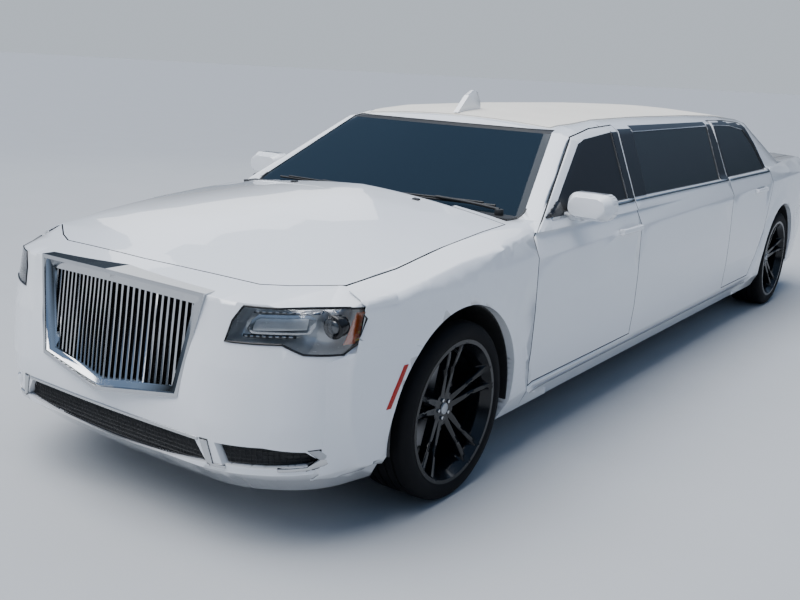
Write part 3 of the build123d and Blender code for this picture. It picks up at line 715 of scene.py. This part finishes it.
def bead(node, facing, radius, side=0):  # tube round the outer face of a pane
    piece = mergedCopy(node)
    pick(piece, "FACE", lambda face: face.normal.dot(facing) > 0.35 and face.center.x * side >= 0)
    keepPicked("FACE")
    bpy.ops.mesh.select_all(action="SELECT")
    bpy.ops.mesh.region_to_loop()
    keepPicked("EDGE")
    leaveEdit()
    onlySelect(piece)
    bpy.ops.object.convert(target="CURVE")
    piece = bpy.context.object
    piece.data.bevel_depth = radius
    piece.data.bevel_resolution = 2
    bpy.ops.object.convert(target="MESH")
    return bpy.context.object


def sideSheet(target, axle, outline, **settings):  # outline in metres behind the axle and above the ground
    return drape([(axle.y + s, z) for s, z in outline], "side", target, **settings)


# Window surrounds.
windowTrim = {"screenBead": 0.006, "bead": 0.0045, "beltHigh": 0.014}
outwards = Vector((0.88, 0, 0.47))
for name, node, facing in (("windscreenGasket", "windscreen", Vector((0, -0.6, 0.8))),
                           ("rearWindowGasket", "rear_window", Vector((0, 0.6, 0.8)))):
    finishPiece(bead(node, facing, windowTrim["screenBead"]), name, "root", "black_plastic", 50)
for name, node, body, side in (("frontDoorGasket", "front_door_glass_left", "front_door_SIDE", 0),
                               ("rearDoorGasket", "rear_door_glass_left", "rear_door_SIDE", 0),
                               ("longWindowGasket", "stretch_windows", "root", 1)):
    bothSides(bead(node, outwards, windowTrim["bead"], side), name, body, "black_plastic", 50)
beltRuns = (
    # name, node, body, axle, start, end, low at start, low at end
    ("frontDoorBelt", "front_door_left", "front_door_SIDE", frontAxle, 0.700, 1.738, 1.036, 1.040),
    ("stretchBelt", "stretch_panels", "root", frontAxle, 1.757, 3.333, 1.040, 1.044),
    ("rearDoorBelt", "rear_door_left", "rear_door_SIDE", rearAxle, -1.300, -0.372, 1.044, 1.050),
)
for name, node, body, axle, start, end, lowStart, lowEnd in beltRuns:
    high = windowTrim["beltHigh"]
    outline = [(start, lowStart), (end, lowEnd), (end, lowEnd + high), (start, lowStart + high)]
    strip = sideSheet(skinOf(node), axle, outline, lift=0.004, thick=0.006, step=0.08, edge=0.0015)
    bothSides(strip, name, body, "chrome")
postCovers = (
    # name, node, body, axle, outline
    ("doorPostCover", "front_door_left", "front_door_SIDE", frontAxle,
     [(1.670, 1.062), (1.742, 1.057), (1.836, 1.384), (1.762, 1.384)]),
    ("windowTopCover", "stretch_panels", "root", frontAxle,
     [(2.046, 1.383), (3.306, 1.389), (3.306, 1.411), (2.046, 1.411)]),
    ("rearDoorPostCover", "rear_door_left", "rear_door_SIDE", rearAxle,
     [(-1.296, 1.066), (-1.257, 1.066), (-1.155, 1.386), (-1.205, 1.386)]),
    ("rearDoorTopFront", "rear_door_left", "rear_door_SIDE", rearAxle,
     [(-1.204, 1.391), (-0.861, 1.383), (-0.861, 1.410), (-1.197, 1.415)]),
    ("rearDoorTopRear", "rear_door_left", "rear_door_SIDE", rearAxle,
     [(-0.860, 1.383), (-0.592, 1.351), (-0.553, 1.391), (-0.860, 1.410)]),
    ("rearDoorBackLow", "rear_door_left", "rear_door_SIDE", rearAxle,
     [(-0.407, 1.074), (-0.372, 1.068), (-0.435, 1.250), (-0.466, 1.233)]),
    ("rearDoorBackHigh", "rear_door_left", "rear_door_SIDE", rearAxle,
     [(-0.467, 1.235), (-0.436, 1.252), (-0.551, 1.389), (-0.587, 1.352)]),
    ("postCoverFront", "stretch_panels", "root", frontAxle,
     [(1.762, 1.062), (1.918, 1.062), (2.032, 1.382), (2.036, 1.396), (1.862, 1.396)]),
    ("postCoverRear", "stretch_panels", "root", rearAxle,
     [(-1.455, 1.062), (-1.322, 1.062), (-1.222, 1.396), (-1.328, 1.396), (-1.332, 1.386)]),
)
for name, node, body, axle, outline in postCovers:
    cover = sideSheet(skinOf(node), axle, outline, lift=0.003, thick=0.005, step=0.016)
    bothSides(cover, name, body, "glossBlack")
mirrorCorner = joined([mergedCopy("front_door_glass_left"), mergedCopy("front_door_left")])
footLine = [(0.716, 1.048), (0.900, 1.048), (0.900, 1.112), (0.868, 1.106)]
mirrorFoot = sideSheet(mirrorCorner, frontAxle, footLine, lift=0.005, thick=0.008, step=0.02, ease=True)
bothSides(mirrorFoot, "mirrorFoot", "front_door_SIDE", "glossBlack")
bpy.data.objects.remove(mirrorCorner)
print("windows trimmed")

# Sill strip and side marker.
sideStrips = (
    # name, node, outline, grid step, bevel, finish
    ("sillStrip", "body_frame", [(0.640, 0.270), (3.950, 0.270), (3.950, 0.286), (0.640, 0.286)],
     0.1, 0.0015, "chrome"),
    ("sideMarker", "front_bumper", [(-0.440, 0.490), (-0.362, 0.640), (-0.384, 0.640), (-0.462, 0.490)],
     0.03, 0.001, "redMarker"),
)
for name, node, outline, step, edge, finish in sideStrips:
    strip = sideSheet(skinOf(node), frontAxle, outline, lift=0.003, thick=0.006, step=step, edge=edge)
    bothSides(strip, name, "root", finish)
print("sills trimmed")

# Bumper corners: one smooth skin from the nose or tail round to the wheel arch.
cornerRows = (
    # name, node, axle, outline
    ("noseCorner", "front_bumper", frontAxle,
     [(-0.700, 0.262), (-0.448, 0.248), (-0.462, 0.480), (-0.420, 0.726), (-0.580, 0.729), (-0.700, 0.694)]),
    ("lampCorner", "fenders", frontAxle,
     [(-0.560, 0.868), (-0.420, 0.868), (-0.420, 0.918), (-0.560, 0.918)]),
    ("tailCorner", "rear_bumper", rearAxle, [(0.462, 0.262), (0.900, 0.262), (0.900, 0.700), (0.440, 0.700)]),
)
for name, node, axle, outline in cornerRows:
    corner = sideSheet(skinOf(node), axle, outline, lift=0.0012, thick=0.004, step=0.009, ease=True)
    bothSides(corner, name, "root", "paint", 60)
print("bumper corners skinned")

# Headlamps: silver bowl with its light bar, projector and reflectors behind a thin clear lens.
lampSkins = {"lensThick": 0.0025, "bowlThick": 0.002, "seal": 0.004, "facing": -0.12}


def lampPart(test, flip, thick):  # one half of a lamp's skin, left lamp only
    piece = mergedCopy("headlamps")
    pick(piece, "FACE", lambda face: face.center.x > 0 and test(face))
    keepPicked("FACE")
    leaveEdit()
    if flip:
        piece.data.flip_normals()
    settle(piece, "SOLIDIFY", thickness=thick, offset=1 if flip else -1)
    return piece


lens = lampPart(lambda face: face.normal.y < lampSkins["facing"], False, lampSkins["lensThick"])
bowl = lampPart(lambda face: face.normal.y >= lampSkins["facing"], True, lampSkins["bowlThick"])
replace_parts(finishPiece(lens, "headlampLens_left", "root", "lamp_clear", 30), "headlamps")
twin(lens, "headlampLens_right", "root")
bothSides(bowl, "headlampBowl", "root", "silverBowl", 30)
lampSeal = bead("headlamps", Vector((0.2, -1, 0)), lampSkins["seal"], 1)
bothSides(lampSeal, "headlampSeal", "root", "glossBlack", 50)
lampPlates = (
    # name, outline in the front view, depth, thickness, finish
    ("lampBar", [(0.600, 0.789), (0.612, 0.776), (0.775, 0.789), (0.786, 0.806), (0.783, 0.842),
                 (0.766, 0.852), (0.628, 0.846), (0.612, 0.834)], -0.020, 0.006, "chrome"),
    ("lampBarInset", [(0.622, 0.797), (0.640, 0.794), (0.762, 0.804), (0.770, 0.814), (0.768, 0.834),
                      (0.758, 0.840), (0.640, 0.835), (0.628, 0.828)], -0.015, 0.004, "silverBowl"),
    ("lampStripUpper", [(0.616, 0.857), (0.618, 0.850), (0.796, 0.857), (0.790, 0.866)],
     -0.014, 0.004, "glossBlack"),
    ("lampStripLower", [(0.594, 0.781), (0.597, 0.770), (0.748, 0.776), (0.744, 0.786)],
     -0.014, 0.004, "glossBlack"),
    ("lampReflector", [(0.846, 0.738), (0.866, 0.730), (0.876, 0.822), (0.873, 0.850), (0.856, 0.853)],
     -0.012, 0.005, "amberLens"),
)
for name, outline, depth, thick, finish in lampPlates:
    plate = drape(outline, "front", frame["nodes"]["headlamps"], depth, thick, 0.02, 0.001)
    bothSides(plate, name, "root", finish)
lampRows = (
    # name, first and last centre of a row of small lights in the front view, count, half size, finish
    ("lampRowUpper", (0.630, 0.8575), (0.782, 0.8620), 9, (0.0055, 0.0026), "chrome"),
    ("lampRowLower", (0.606, 0.7760), (0.736, 0.7810), 8, (0.0055, 0.0026), "chrome"),
    ("reflectorDots", (0.864, 0.7600), (0.868, 0.8360), 4, (0.0035, 0.0042), "dotYellow"),
)
for name, begin, end, count, half, finish in lampRows:
    lights = []
    for i in range(count):
        u, v = (begin[axis] + (end[axis] - begin[axis]) * i / (count - 1) for axis in (0, 1))
        outline = [(u - half[0], v - half[1]), (u + half[0], v - half[1]), (u + half[0], v + half[1]),
                   (u - half[0], v + half[1])]
        lights.append(drape(outline, "front", frame["nodes"]["headlamps"], -0.010, 0.004, 0.02, 0.0008))
    bothSides(joined(lights), name, "root", finish)
projector = {"spot": (0.826, -3.030, 0.812), "radius": 0.026, "ring": 0.008, "rise": 1.35, "flat": 0.5,
             "housing": 0.012, "behind": 0.022, "deep": 0.034}


def makeProjector():
    spot, radius, ringThick = projector["spot"], projector["radius"], projector["ring"]
    onlySelect()
    bpy.ops.mesh.primitive_torus_add(
        location=spot, rotation=(radians(90), 0, 0), major_radius=radius + ringThick, minor_radius=ringThick,
        major_segments=40, minor_segments=12)
    ring = bpy.context.object
    ring.scale = (1, 1, projector["rise"])
    housing = disc((spot[0], spot[1] + projector["behind"], spot[2]), radius + projector["housing"],
                   projector["deep"], "Y", 40, 0.003)
    bothSides(joined([ring, housing]), "projectorRing", "root", "glossBlack")
    onlySelect()
    bpy.ops.mesh.primitive_uv_sphere_add(segments=32, ring_count=16, radius=radius, location=spot)
    eye = bpy.context.object
    eye.scale = (1, projector["flat"], 1)
    bothSides(eye, "projectorLens", "root", "projectorGlass", 60)


makeProjector()
print("headlamps made")

# Bumper: mesh in the intakes, chrome upper trim, blade round each outer slot, all on slightly larger black
# sheets that paint a shadow line round each trim.
noseSkin = skinOf("front_bumper")
chromeTrims = (
    # name, outline in the front view, finish
    ("intakeTrimCentre", [(-0.470, 0.396), (0.470, 0.396), (0.462, 0.408), (-0.462, 0.408)], "chrome"),
    ("bladeRiser", [(0.506, 0.322), (0.532, 0.316), (0.510, 0.404), (0.478, 0.404)], "chrome"),
    ("bladeFoot", [(0.520, 0.312), (0.800, 0.316), (0.806, 0.329), (0.524, 0.325)], "chrome"),
    ("bladeCorner", [(0.796, 0.316), (0.832, 0.326), (0.842, 0.344), (0.822, 0.352), (0.799, 0.330)],
     "chrome"),
    ("bladeEnd", [(0.822, 0.348), (0.842, 0.340), (0.824, 0.386), (0.802, 0.388)], "capGrey"),
)


def grown(outline, margin):  # the outline with each corner moved out from its middle
    middle = Vector((sum(u for u, v in outline), sum(v for u, v in outline))) / len(outline)
    corners = [Vector(corner) for corner in outline]
    return [tuple(corner + (corner - middle).normalized() * margin) for corner in corners]


for name, outline, finish in chromeTrims:
    strip = drape(outline, "front", noseSkin, lift=0.005, thick=0.012, step=0.02, edge=0.0025)
    # a black sheet a little larger than the trim above it: painted shadow round the trim's edge
    shadowBacking = drape(grown(outline, 0.004), "front", noseSkin, lift=0.002, thick=0.004, step=0.02)
    finishNow = finishPiece if name == "intakeTrimCentre" else bothSides
    finishNow(shadowBacking, name + "Seat", "root", "glossBlack")
    finishNow(strip, name, "root", finish)
nets = (
    # name, outline in the front view
    ("intakeNet", [(-0.505, 0.330), (-0.300, 0.300), (0, 0.284), (0.300, 0.300), (0.505, 0.330),
                   (0.450, 0.392), (-0.450, 0.392)]),
    ("slotNet", [(0.570, 0.332), (0.795, 0.336), (0.812, 0.352), (0.790, 0.380), (0.545, 0.396)]),
)
for name, outline in nets:
    net = drape(outline, "front", skinOf("lower_intake"), lift=0.008, step=0.016, wire=0.0042)
    finishNow = finishPiece if name == "intakeNet" else bothSides
    finishNow(net, name, "root", "black_plastic", None)
print("nose trimmed")

# Bonnet washers and wipers.
washers = {"x": 0.36, "y": fromFront(0.475),
           "corners": ((-0.016, -0.011), (0.016, -0.011), (0.012, 0.013), (-0.012, 0.013))}
for sideName, side in (("left", 1), ("right", -1)):
    outline = [(side * washers["x"] + u, washers["y"] + v) for u, v in washers["corners"]]
    washer = drape(outline, "top", skinOf("bonnet"), lift=0.007, thick=0.009, step=0.02, edge=0.003)
    finishPiece(washer, "washerNozzle_" + sideName, "bonnet", "black_plastic")
wiperSet = (
    # name, pivot, blade ends
    ("left", (0.700, fromFront(0.628)), ((0.640, fromFront(0.700)), (0.040, fromFront(0.640)))),
    ("right", (0.040, fromFront(0.628)), ((-0.040, fromFront(0.655)), (-0.640, fromFront(0.690)))),
)
wiperShape = {
    "foot": 1.062, "lowest": 1.070, "offGlass": 0.022, "bow": 0.012, "headRadius": 0.020, "headHigh": 0.030,
    "armStart": (0, 0, 0.012), "armKnee": (0, 0.004, 0.016), "armRadius": 0.007, "bladeBow": (0, 0, 0.002),
    "bladeRadius": 0.006, "spineUp": (0, 0, 0.009), "spineRadius": 0.0045,
}


def glassHeight(y):  # windscreen's outer face on the centre line
    low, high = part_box("windscreen")
    return low.z + (y - low.y) * (high.z - low.z) / (high.y - low.y)


def makeWiper(name, pivot, ends):
    shape = wiperShape
    foot = Vector((*pivot, shape["foot"]))
    tips = [Vector((x, y, max(glassHeight(y) + shape["offGlass"], shape["lowest"]))) for x, y in ends]
    middle = tips[0].lerp(tips[1], 0.5) + Vector((0, 0, shape["bow"]))
    knee = foot.lerp(middle, 0.35) + Vector(shape["armKnee"])
    nearEnd, farEnd = (tips[0].lerp(tips[1], share) + Vector(shape["spineUp"]) for share in (0.1, 0.9))
    head = disc(tuple(foot), shape["headRadius"], shape["headHigh"], "Z", 24, 0.004)
    arm = rod([foot + Vector(shape["armStart"]), knee, middle], shape["armRadius"])
    bowed = tips[0].lerp(tips[1], 0.5) + Vector(shape["bladeBow"])
    blade = rod([tips[0], bowed, tips[1]], shape["bladeRadius"])
    spine = rod([nearEnd, middle, farEnd], shape["spineRadius"])
    return finishPiece(joined([head, arm, blade, spine]), "wiper_" + name, "root", "black_plastic")


wipersMade = [makeWiper(*row) for row in wiperSet]
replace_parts(wipersMade[0], "wipers")
print("wipers made")

# Tyres with ribs between round grooves, wheel nuts, cap and valve.
tyreShape = {
    "steps": 96, "tread": 0.3600, "grooveDepth": 0.0075, "grooves": (0.062, 0.022), "grooveTop": 0.0055,
    "grooveFoot": 0.004, "inside": [(-0.108, 0.2806), (0.108, 0.2806)],
    "wall": [(0.111, 0.2805), (0.120, 0.290), (0.1265, 0.305), (0.1268, 0.320), (0.123, 0.338),
             (0.116, 0.350), (0.104, 0.3575), (0.092, 0.3595), (0.072, 0.3600)],
}
nutShape = {"count": 5, "out": 0.062, "circle": 0.0380, "radius": 0.0085, "thick": 0.012}


def makeTyre():  # left front tyre, about its own axle
    tread = tyreShape["tread"]
    deep = tread - tyreShape["grooveDepth"]
    profile = list(tyreShape["wall"])
    top, foot = tyreShape["grooveTop"], tyreShape["grooveFoot"]
    for mid in tyreShape["grooves"]:
        profile += [(mid + top, tread), (mid + foot, deep), (mid - foot, deep), (mid - top, tread)]
    full = profile + [(-x, r) for x, r in reversed(profile)] + tyreShape["inside"]
    onlySelect()
    bpy.ops.mesh.primitive_circle_add(vertices=len(full), radius=0.1)
    piece = bpy.context.object
    for vertex, (x, r) in zip(piece.data.vertices, full):
        vertex.co = (x, 0, r)
    editAll(piece)
    bpy.ops.mesh.spin(steps=tyreShape["steps"], angle=2 * pi, center=(0, 0, 0), axis=(1, 0, 0))
    editAll(piece)
    bpy.ops.mesh.remove_doubles(threshold=modelling["weld"])
    bpy.ops.mesh.normals_make_consistent(inside=False)
    leaveEdit()
    return piece


def makeNuts():
    parts = []
    for i in range(nutShape["count"]):
        turn = 2 * pi * i / nutShape["count"] + pi / nutShape["count"]
        centre = (nutShape["out"], nutShape["circle"] * cos(turn), nutShape["circle"] * sin(turn))
        parts.append(disc(centre, nutShape["radius"], nutShape["thick"], "X", 6, 0.0015))
    return joined(parts)


wheelParts = (
    # model, name, finish, smoothing angle
    (makeTyre(), "treadedTyre", "tyre_rubber", 32),
    (makeNuts(), "wheelNuts", "chrome", 30),
    (disc((0.0635, 0, 0), 0.0235, 0.010, "X", 32, 0.003), "wheelCap", "capGrey", 40),
    (rod([(0.090, 0, 0.252), (0.112, 0, 0.240)], 0.0045, False), "tyreValve", "black_plastic", 50),
)
for wheel in ("front_left", "front_right", "rear_left", "rear_right"):
    for model, name, finish, smooth in wheelParts:
        piece = added(name, model.data.copy())
        if wheel.endswith("right"):
            mirrored(piece)
        piece.data.transform(Matrix.Translation(middleOf("tyre_" + wheel)))
        finishPiece(piece, f"{name}_{wheel}", "wheel_" + wheel, finish, smooth)
        if name == "treadedTyre":
            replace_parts(piece, "tyre_" + wheel)
for model, *rest in wheelParts:
    bpy.data.objects.remove(model)
print("wheels dressed")

# Seats: crowned leather cushions in place of the plain solids.
seatLook = {"crown": 0.018, "headCrown": 0.012, "pinch": 0.010, "cuts": 7, "round": 0.35, "fill": 0.7}
seatParts = {
    # front and back behind the seat's front, low and high above its floor
    "cushion": (0.02, 0.47, 0.10, 0.27), "backrest": (0.44, 0.60, 0.24, 0.84),
    "headrest": (0.595, 0.685, 0.835, 0.975), "plinth": (0.05, 0.52, 0.001, 0.12),
}
seatShape = {"headHalf": 0.125, "inset": 0.02, "backLean": -13, "headLean": -8, "plinthEdge": 0.02}


def cushion(low, high, lean=0.0, crown=seatLook["crown"]):
    low, high = Vector(low), Vector(high)
    middle, half = (low + high) / 2, (high - low) / 2
    onlySelect()
    bpy.ops.mesh.primitive_cube_add(size=2, location=(0, 0, 0))
    piece = bpy.context.object
    editAll(piece, "FACE")
    bpy.ops.mesh.subdivide(number_cuts=seatLook["cuts"])
    leaveEdit()
    for vertex in piece.data.vertices:
        u, v, w = vertex.co
        bulge = Vector((u * (1 - v * v) * (1 - w * w), v * (1 - u * u) * (1 - w * w),
                        w * (1 - u * u) * (1 - v * v)))
        inset = Vector((u * max(abs(v), abs(w)) ** 4, v * max(abs(u), abs(w)) ** 4,
                        w * max(abs(u), abs(v)) ** 4))
        plain = Vector((u * (half.x - crown), v * (half.y - crown), w * (half.z - crown)))
        vertex.co = plain + bulge * crown - inset * seatLook["pinch"]
    bevel(piece, min(half) * seatLook["round"], 3, 60)
    settle(piece, "SUBSURF", levels=1, render_levels=1)
    if lean:
        piece.data.transform(Matrix.Rotation(radians(lean), 4, "X"))
    piece.data.transform(Matrix.Translation(middle))
    return piece


def finishPad(piece, name):
    finishPiece(piece, name, "root", "upholstery", 50)


def padSeat(name, left, right, front, floorHigh):
    def corners(part, low, high):
        near, far, under, over = seatParts[part]
        return (low, front + near, floorHigh + under), (high, front + far, floorHigh + over)

    centre, headHalf, inset = (left + right) / 2, seatShape["headHalf"], seatShape["inset"]
    base = cushion(*corners("cushion", left, right))
    back = cushion(*corners("backrest", left, right), seatShape["backLean"])
    head = cushion(*corners("headrest", centre - headHalf, centre + headHalf), seatShape["headLean"],
                   seatLook["headCrown"])
    plinth = slab(*corners("plinth", left + inset, right - inset), seatShape["plinthEdge"])
    for part, label in ((base, "Cushion"), (back, "Backrest"), (head, "Headrest")):
        finishPad(part, name + label)
    finishPiece(plinth, name + "Plinth", "root", "black_plastic")
    return base


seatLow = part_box("front_seats")[0]
benchLow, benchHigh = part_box("rear_bench")
driverCushion = padSeat("driverSeat", 0.170, 0.690, seatLow.y, seatLow.z)
padSeat("passengerSeat", -0.690, -0.170, seatLow.y, seatLow.z)
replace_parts(driverCushion, "front_seats")
benchCushion = padSeat("rearBenchLeft", 0.005, benchHigh.x, benchLow.y, benchLow.z)
padSeat("rearBenchRight", benchLow.x, -0.005, benchLow.y, benchLow.z)
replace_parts(benchCushion, "rear_bench")
sideBench = {
    "pads": 3, "seam": 0.004, "seatBehind": 0.09, "seatLow": 0.10, "seatHigh": 0.30, "backLow": 0.26,
    "backThick": 0.13, "plinthLow": (0.02, 0.01, 0.001), "plinthIn": (0.05, 0.01), "plinthHigh": 0.13,
}


def makeSideBench():
    low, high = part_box("side_bench")
    long = (high.y - low.y) / sideBench["pads"]
    for i in range(sideBench["pads"]):
        near, far = low.y + long * i + sideBench["seam"], low.y + long * i + long - sideBench["seam"]
        seatPad = cushion((low.x + sideBench["seatBehind"], near, low.z + sideBench["seatLow"]),
                          (high.x, far, low.z + sideBench["seatHigh"]))
        backPad = cushion((low.x, near, low.z + sideBench["backLow"]),
                          (low.x + sideBench["backThick"], far, high.z))
        finishPad(seatPad, f"sideCushion_{i + 1}")
        finishPad(backPad, f"sideBackrest_{i + 1}")
        if i == 0:
            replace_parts(seatPad, "side_bench")
    inX, inY = sideBench["plinthIn"]
    topCorner = (high.x - inX, high.y - inY, low.z + sideBench["plinthHigh"])
    plinth = slab(low + Vector(sideBench["plinthLow"]), topCorner, 0.015)
    finishPiece(plinth, "sideBenchPlinth", "root", "black_plastic")


makeSideBench()
print("seats padded")

# Tail: lamp bars, blank plate, lid strip.
tailBars = {"count": 3, "low": 0.838, "pitch": 0.034, "high": 0.012}
for i in range(tailBars["count"]):
    z = tailBars["low"] + tailBars["pitch"] * i
    outline = [(0.640, z), (0.848, z), (0.848, z + tailBars["high"]), (0.640, z + tailBars["high"])]
    bar = drape(outline, "rear", skinOf("tail_lamps"), lift=0.001, thick=0.006, step=0.03, edge=0.002)
    bothSides(bar, f"tailBar{i + 1}", "root", "tailBright")
bothSides(bead("tail_lamps", Vector((0.1, 1, 0)), 0.0035, 1), "tailLampSeal", "root", "glossBlack", 50)
tailPlates = (
    # name, node, body, half width, low, high, lift, thickness, grid step, bevel, finish
    ("lidStrip", "boot_lid", "boot_lid", 0.500, 0.905, 0.925, 0.002, 0.008, 0.05, 0.002, "chrome"),
    ("blankPlate", "rear_bumper", "root", 0.260, 0.560, 0.680, 0.001, 0.004, 0.2, 0.0008, "plateWhite"),
)
for name, node, body, half, low, high, lift, thick, step, edge, finish in tailPlates:
    outline = [(-half, low), (half, low), (half, high), (-half, high)]
    plate = drape(outline, "rear", skinOf(node), lift, thick, step, edge)
    finishPiece(plate, name, body, finish)
print("tail trimmed")

# Cabin mirror seen through the screen.
mirrorGlass = slab((-0.115, fromFront(1.240), 1.318), (0.115, fromFront(1.262), 1.372), 0.012)
finishPiece(mirrorGlass, "cabinMirror", "root", "black_plastic")
stalk = rod([(0, fromFront(1.250), 1.362), (0, fromFront(1.262), 1.395)], 0.007, False)
finishPiece(stalk, "cabinMirrorStalk", "root", "black_plastic", 50)
print("cabin fitted")

# Studio: pale floor, soft daylight, and a sky with a dark low band for the gloss to mirror.
studio = {
    "floorSize": 600, "sun": 4.4, "sunAngle": 60, "sunFrom": (-2.2, -2.4, 7.0), "aim": (0, 0, 0.8),
    "low": (0.38, 0.49, 0.65), "high": (0.16, 0.27, 0.48), "climb": 1.3, "skyStrength": 1.0,
    "band": (0.020, 0.026, 0.032), "bandHeight": 0.10, "bandSharpness": 3.5, "seen": (0.57, 0.63, 0.70),
    "lamps": (
        # name, place, size, power
        ("overhead", (0, 0, 6.5), (4, 12), 260),
        ("far side", (-8, 5, 5), (5, 3), 60),
    ),
}


def makeSky():
    world = bpy.data.worlds.new("softSky")
    world.use_nodes = True
    wire = Wire(world.node_tree)
    up = wire.node("SeparateXYZ", inputs={0: wire.node("TexCoord", output="Generated")}, output=2)
    sky = between(wire, (up * studio["climb"]).clamped(), studio["low"], studio["high"])
    banded = (1 - abs(up - studio["bandHeight"]) * studio["bandSharpness"]).clamped()
    reflected = between(wire, banded, sky, studio["band"])
    shown = between(wire, wire.node("LightPath", output="Is Camera Ray"), reflected, studio["seen"])
    background = world.node_tree.nodes["Background"]
    world.node_tree.links.new(shown.socket, background.inputs["Color"])
    background.inputs["Strength"].default_value = studio["skyStrength"]
    bpy.context.scene.world = world


def turnTo(lamp, heading):
    lamp.rotation_euler = heading.to_track_quat("-Z", "Y").to_euler()


def makeStudio():
    onlySelect()
    bpy.ops.mesh.primitive_plane_add(size=studio["floorSize"], location=(0, 0, 0))
    floor = bpy.context.object
    floor.name = "studioFloor"
    floor.data.materials.append(makeFinish("paleFloor", {}, patterned(looks["floor"])))
    bpy.ops.object.light_add(type="SUN", location=studio["sunFrom"])
    sun = bpy.context.object
    sun.name = "soft daylight"
    sun.data.energy, sun.data.angle = studio["sun"], radians(studio["sunAngle"])
    turnTo(sun, -Vector(studio["sunFrom"]))
    for name, spot, size, power in studio["lamps"]:
        bpy.ops.object.light_add(type="AREA", location=spot)
        lamp = bpy.context.object
        lamp.name = name
        lamp.data.shape = "RECTANGLE"
        lamp.data.size, lamp.data.size_y = size
        lamp.data.energy = power
        turnTo(lamp, Vector(studio["aim"]) - Vector(spot))
    makeSky()


makeStudio()
print("studio lit")
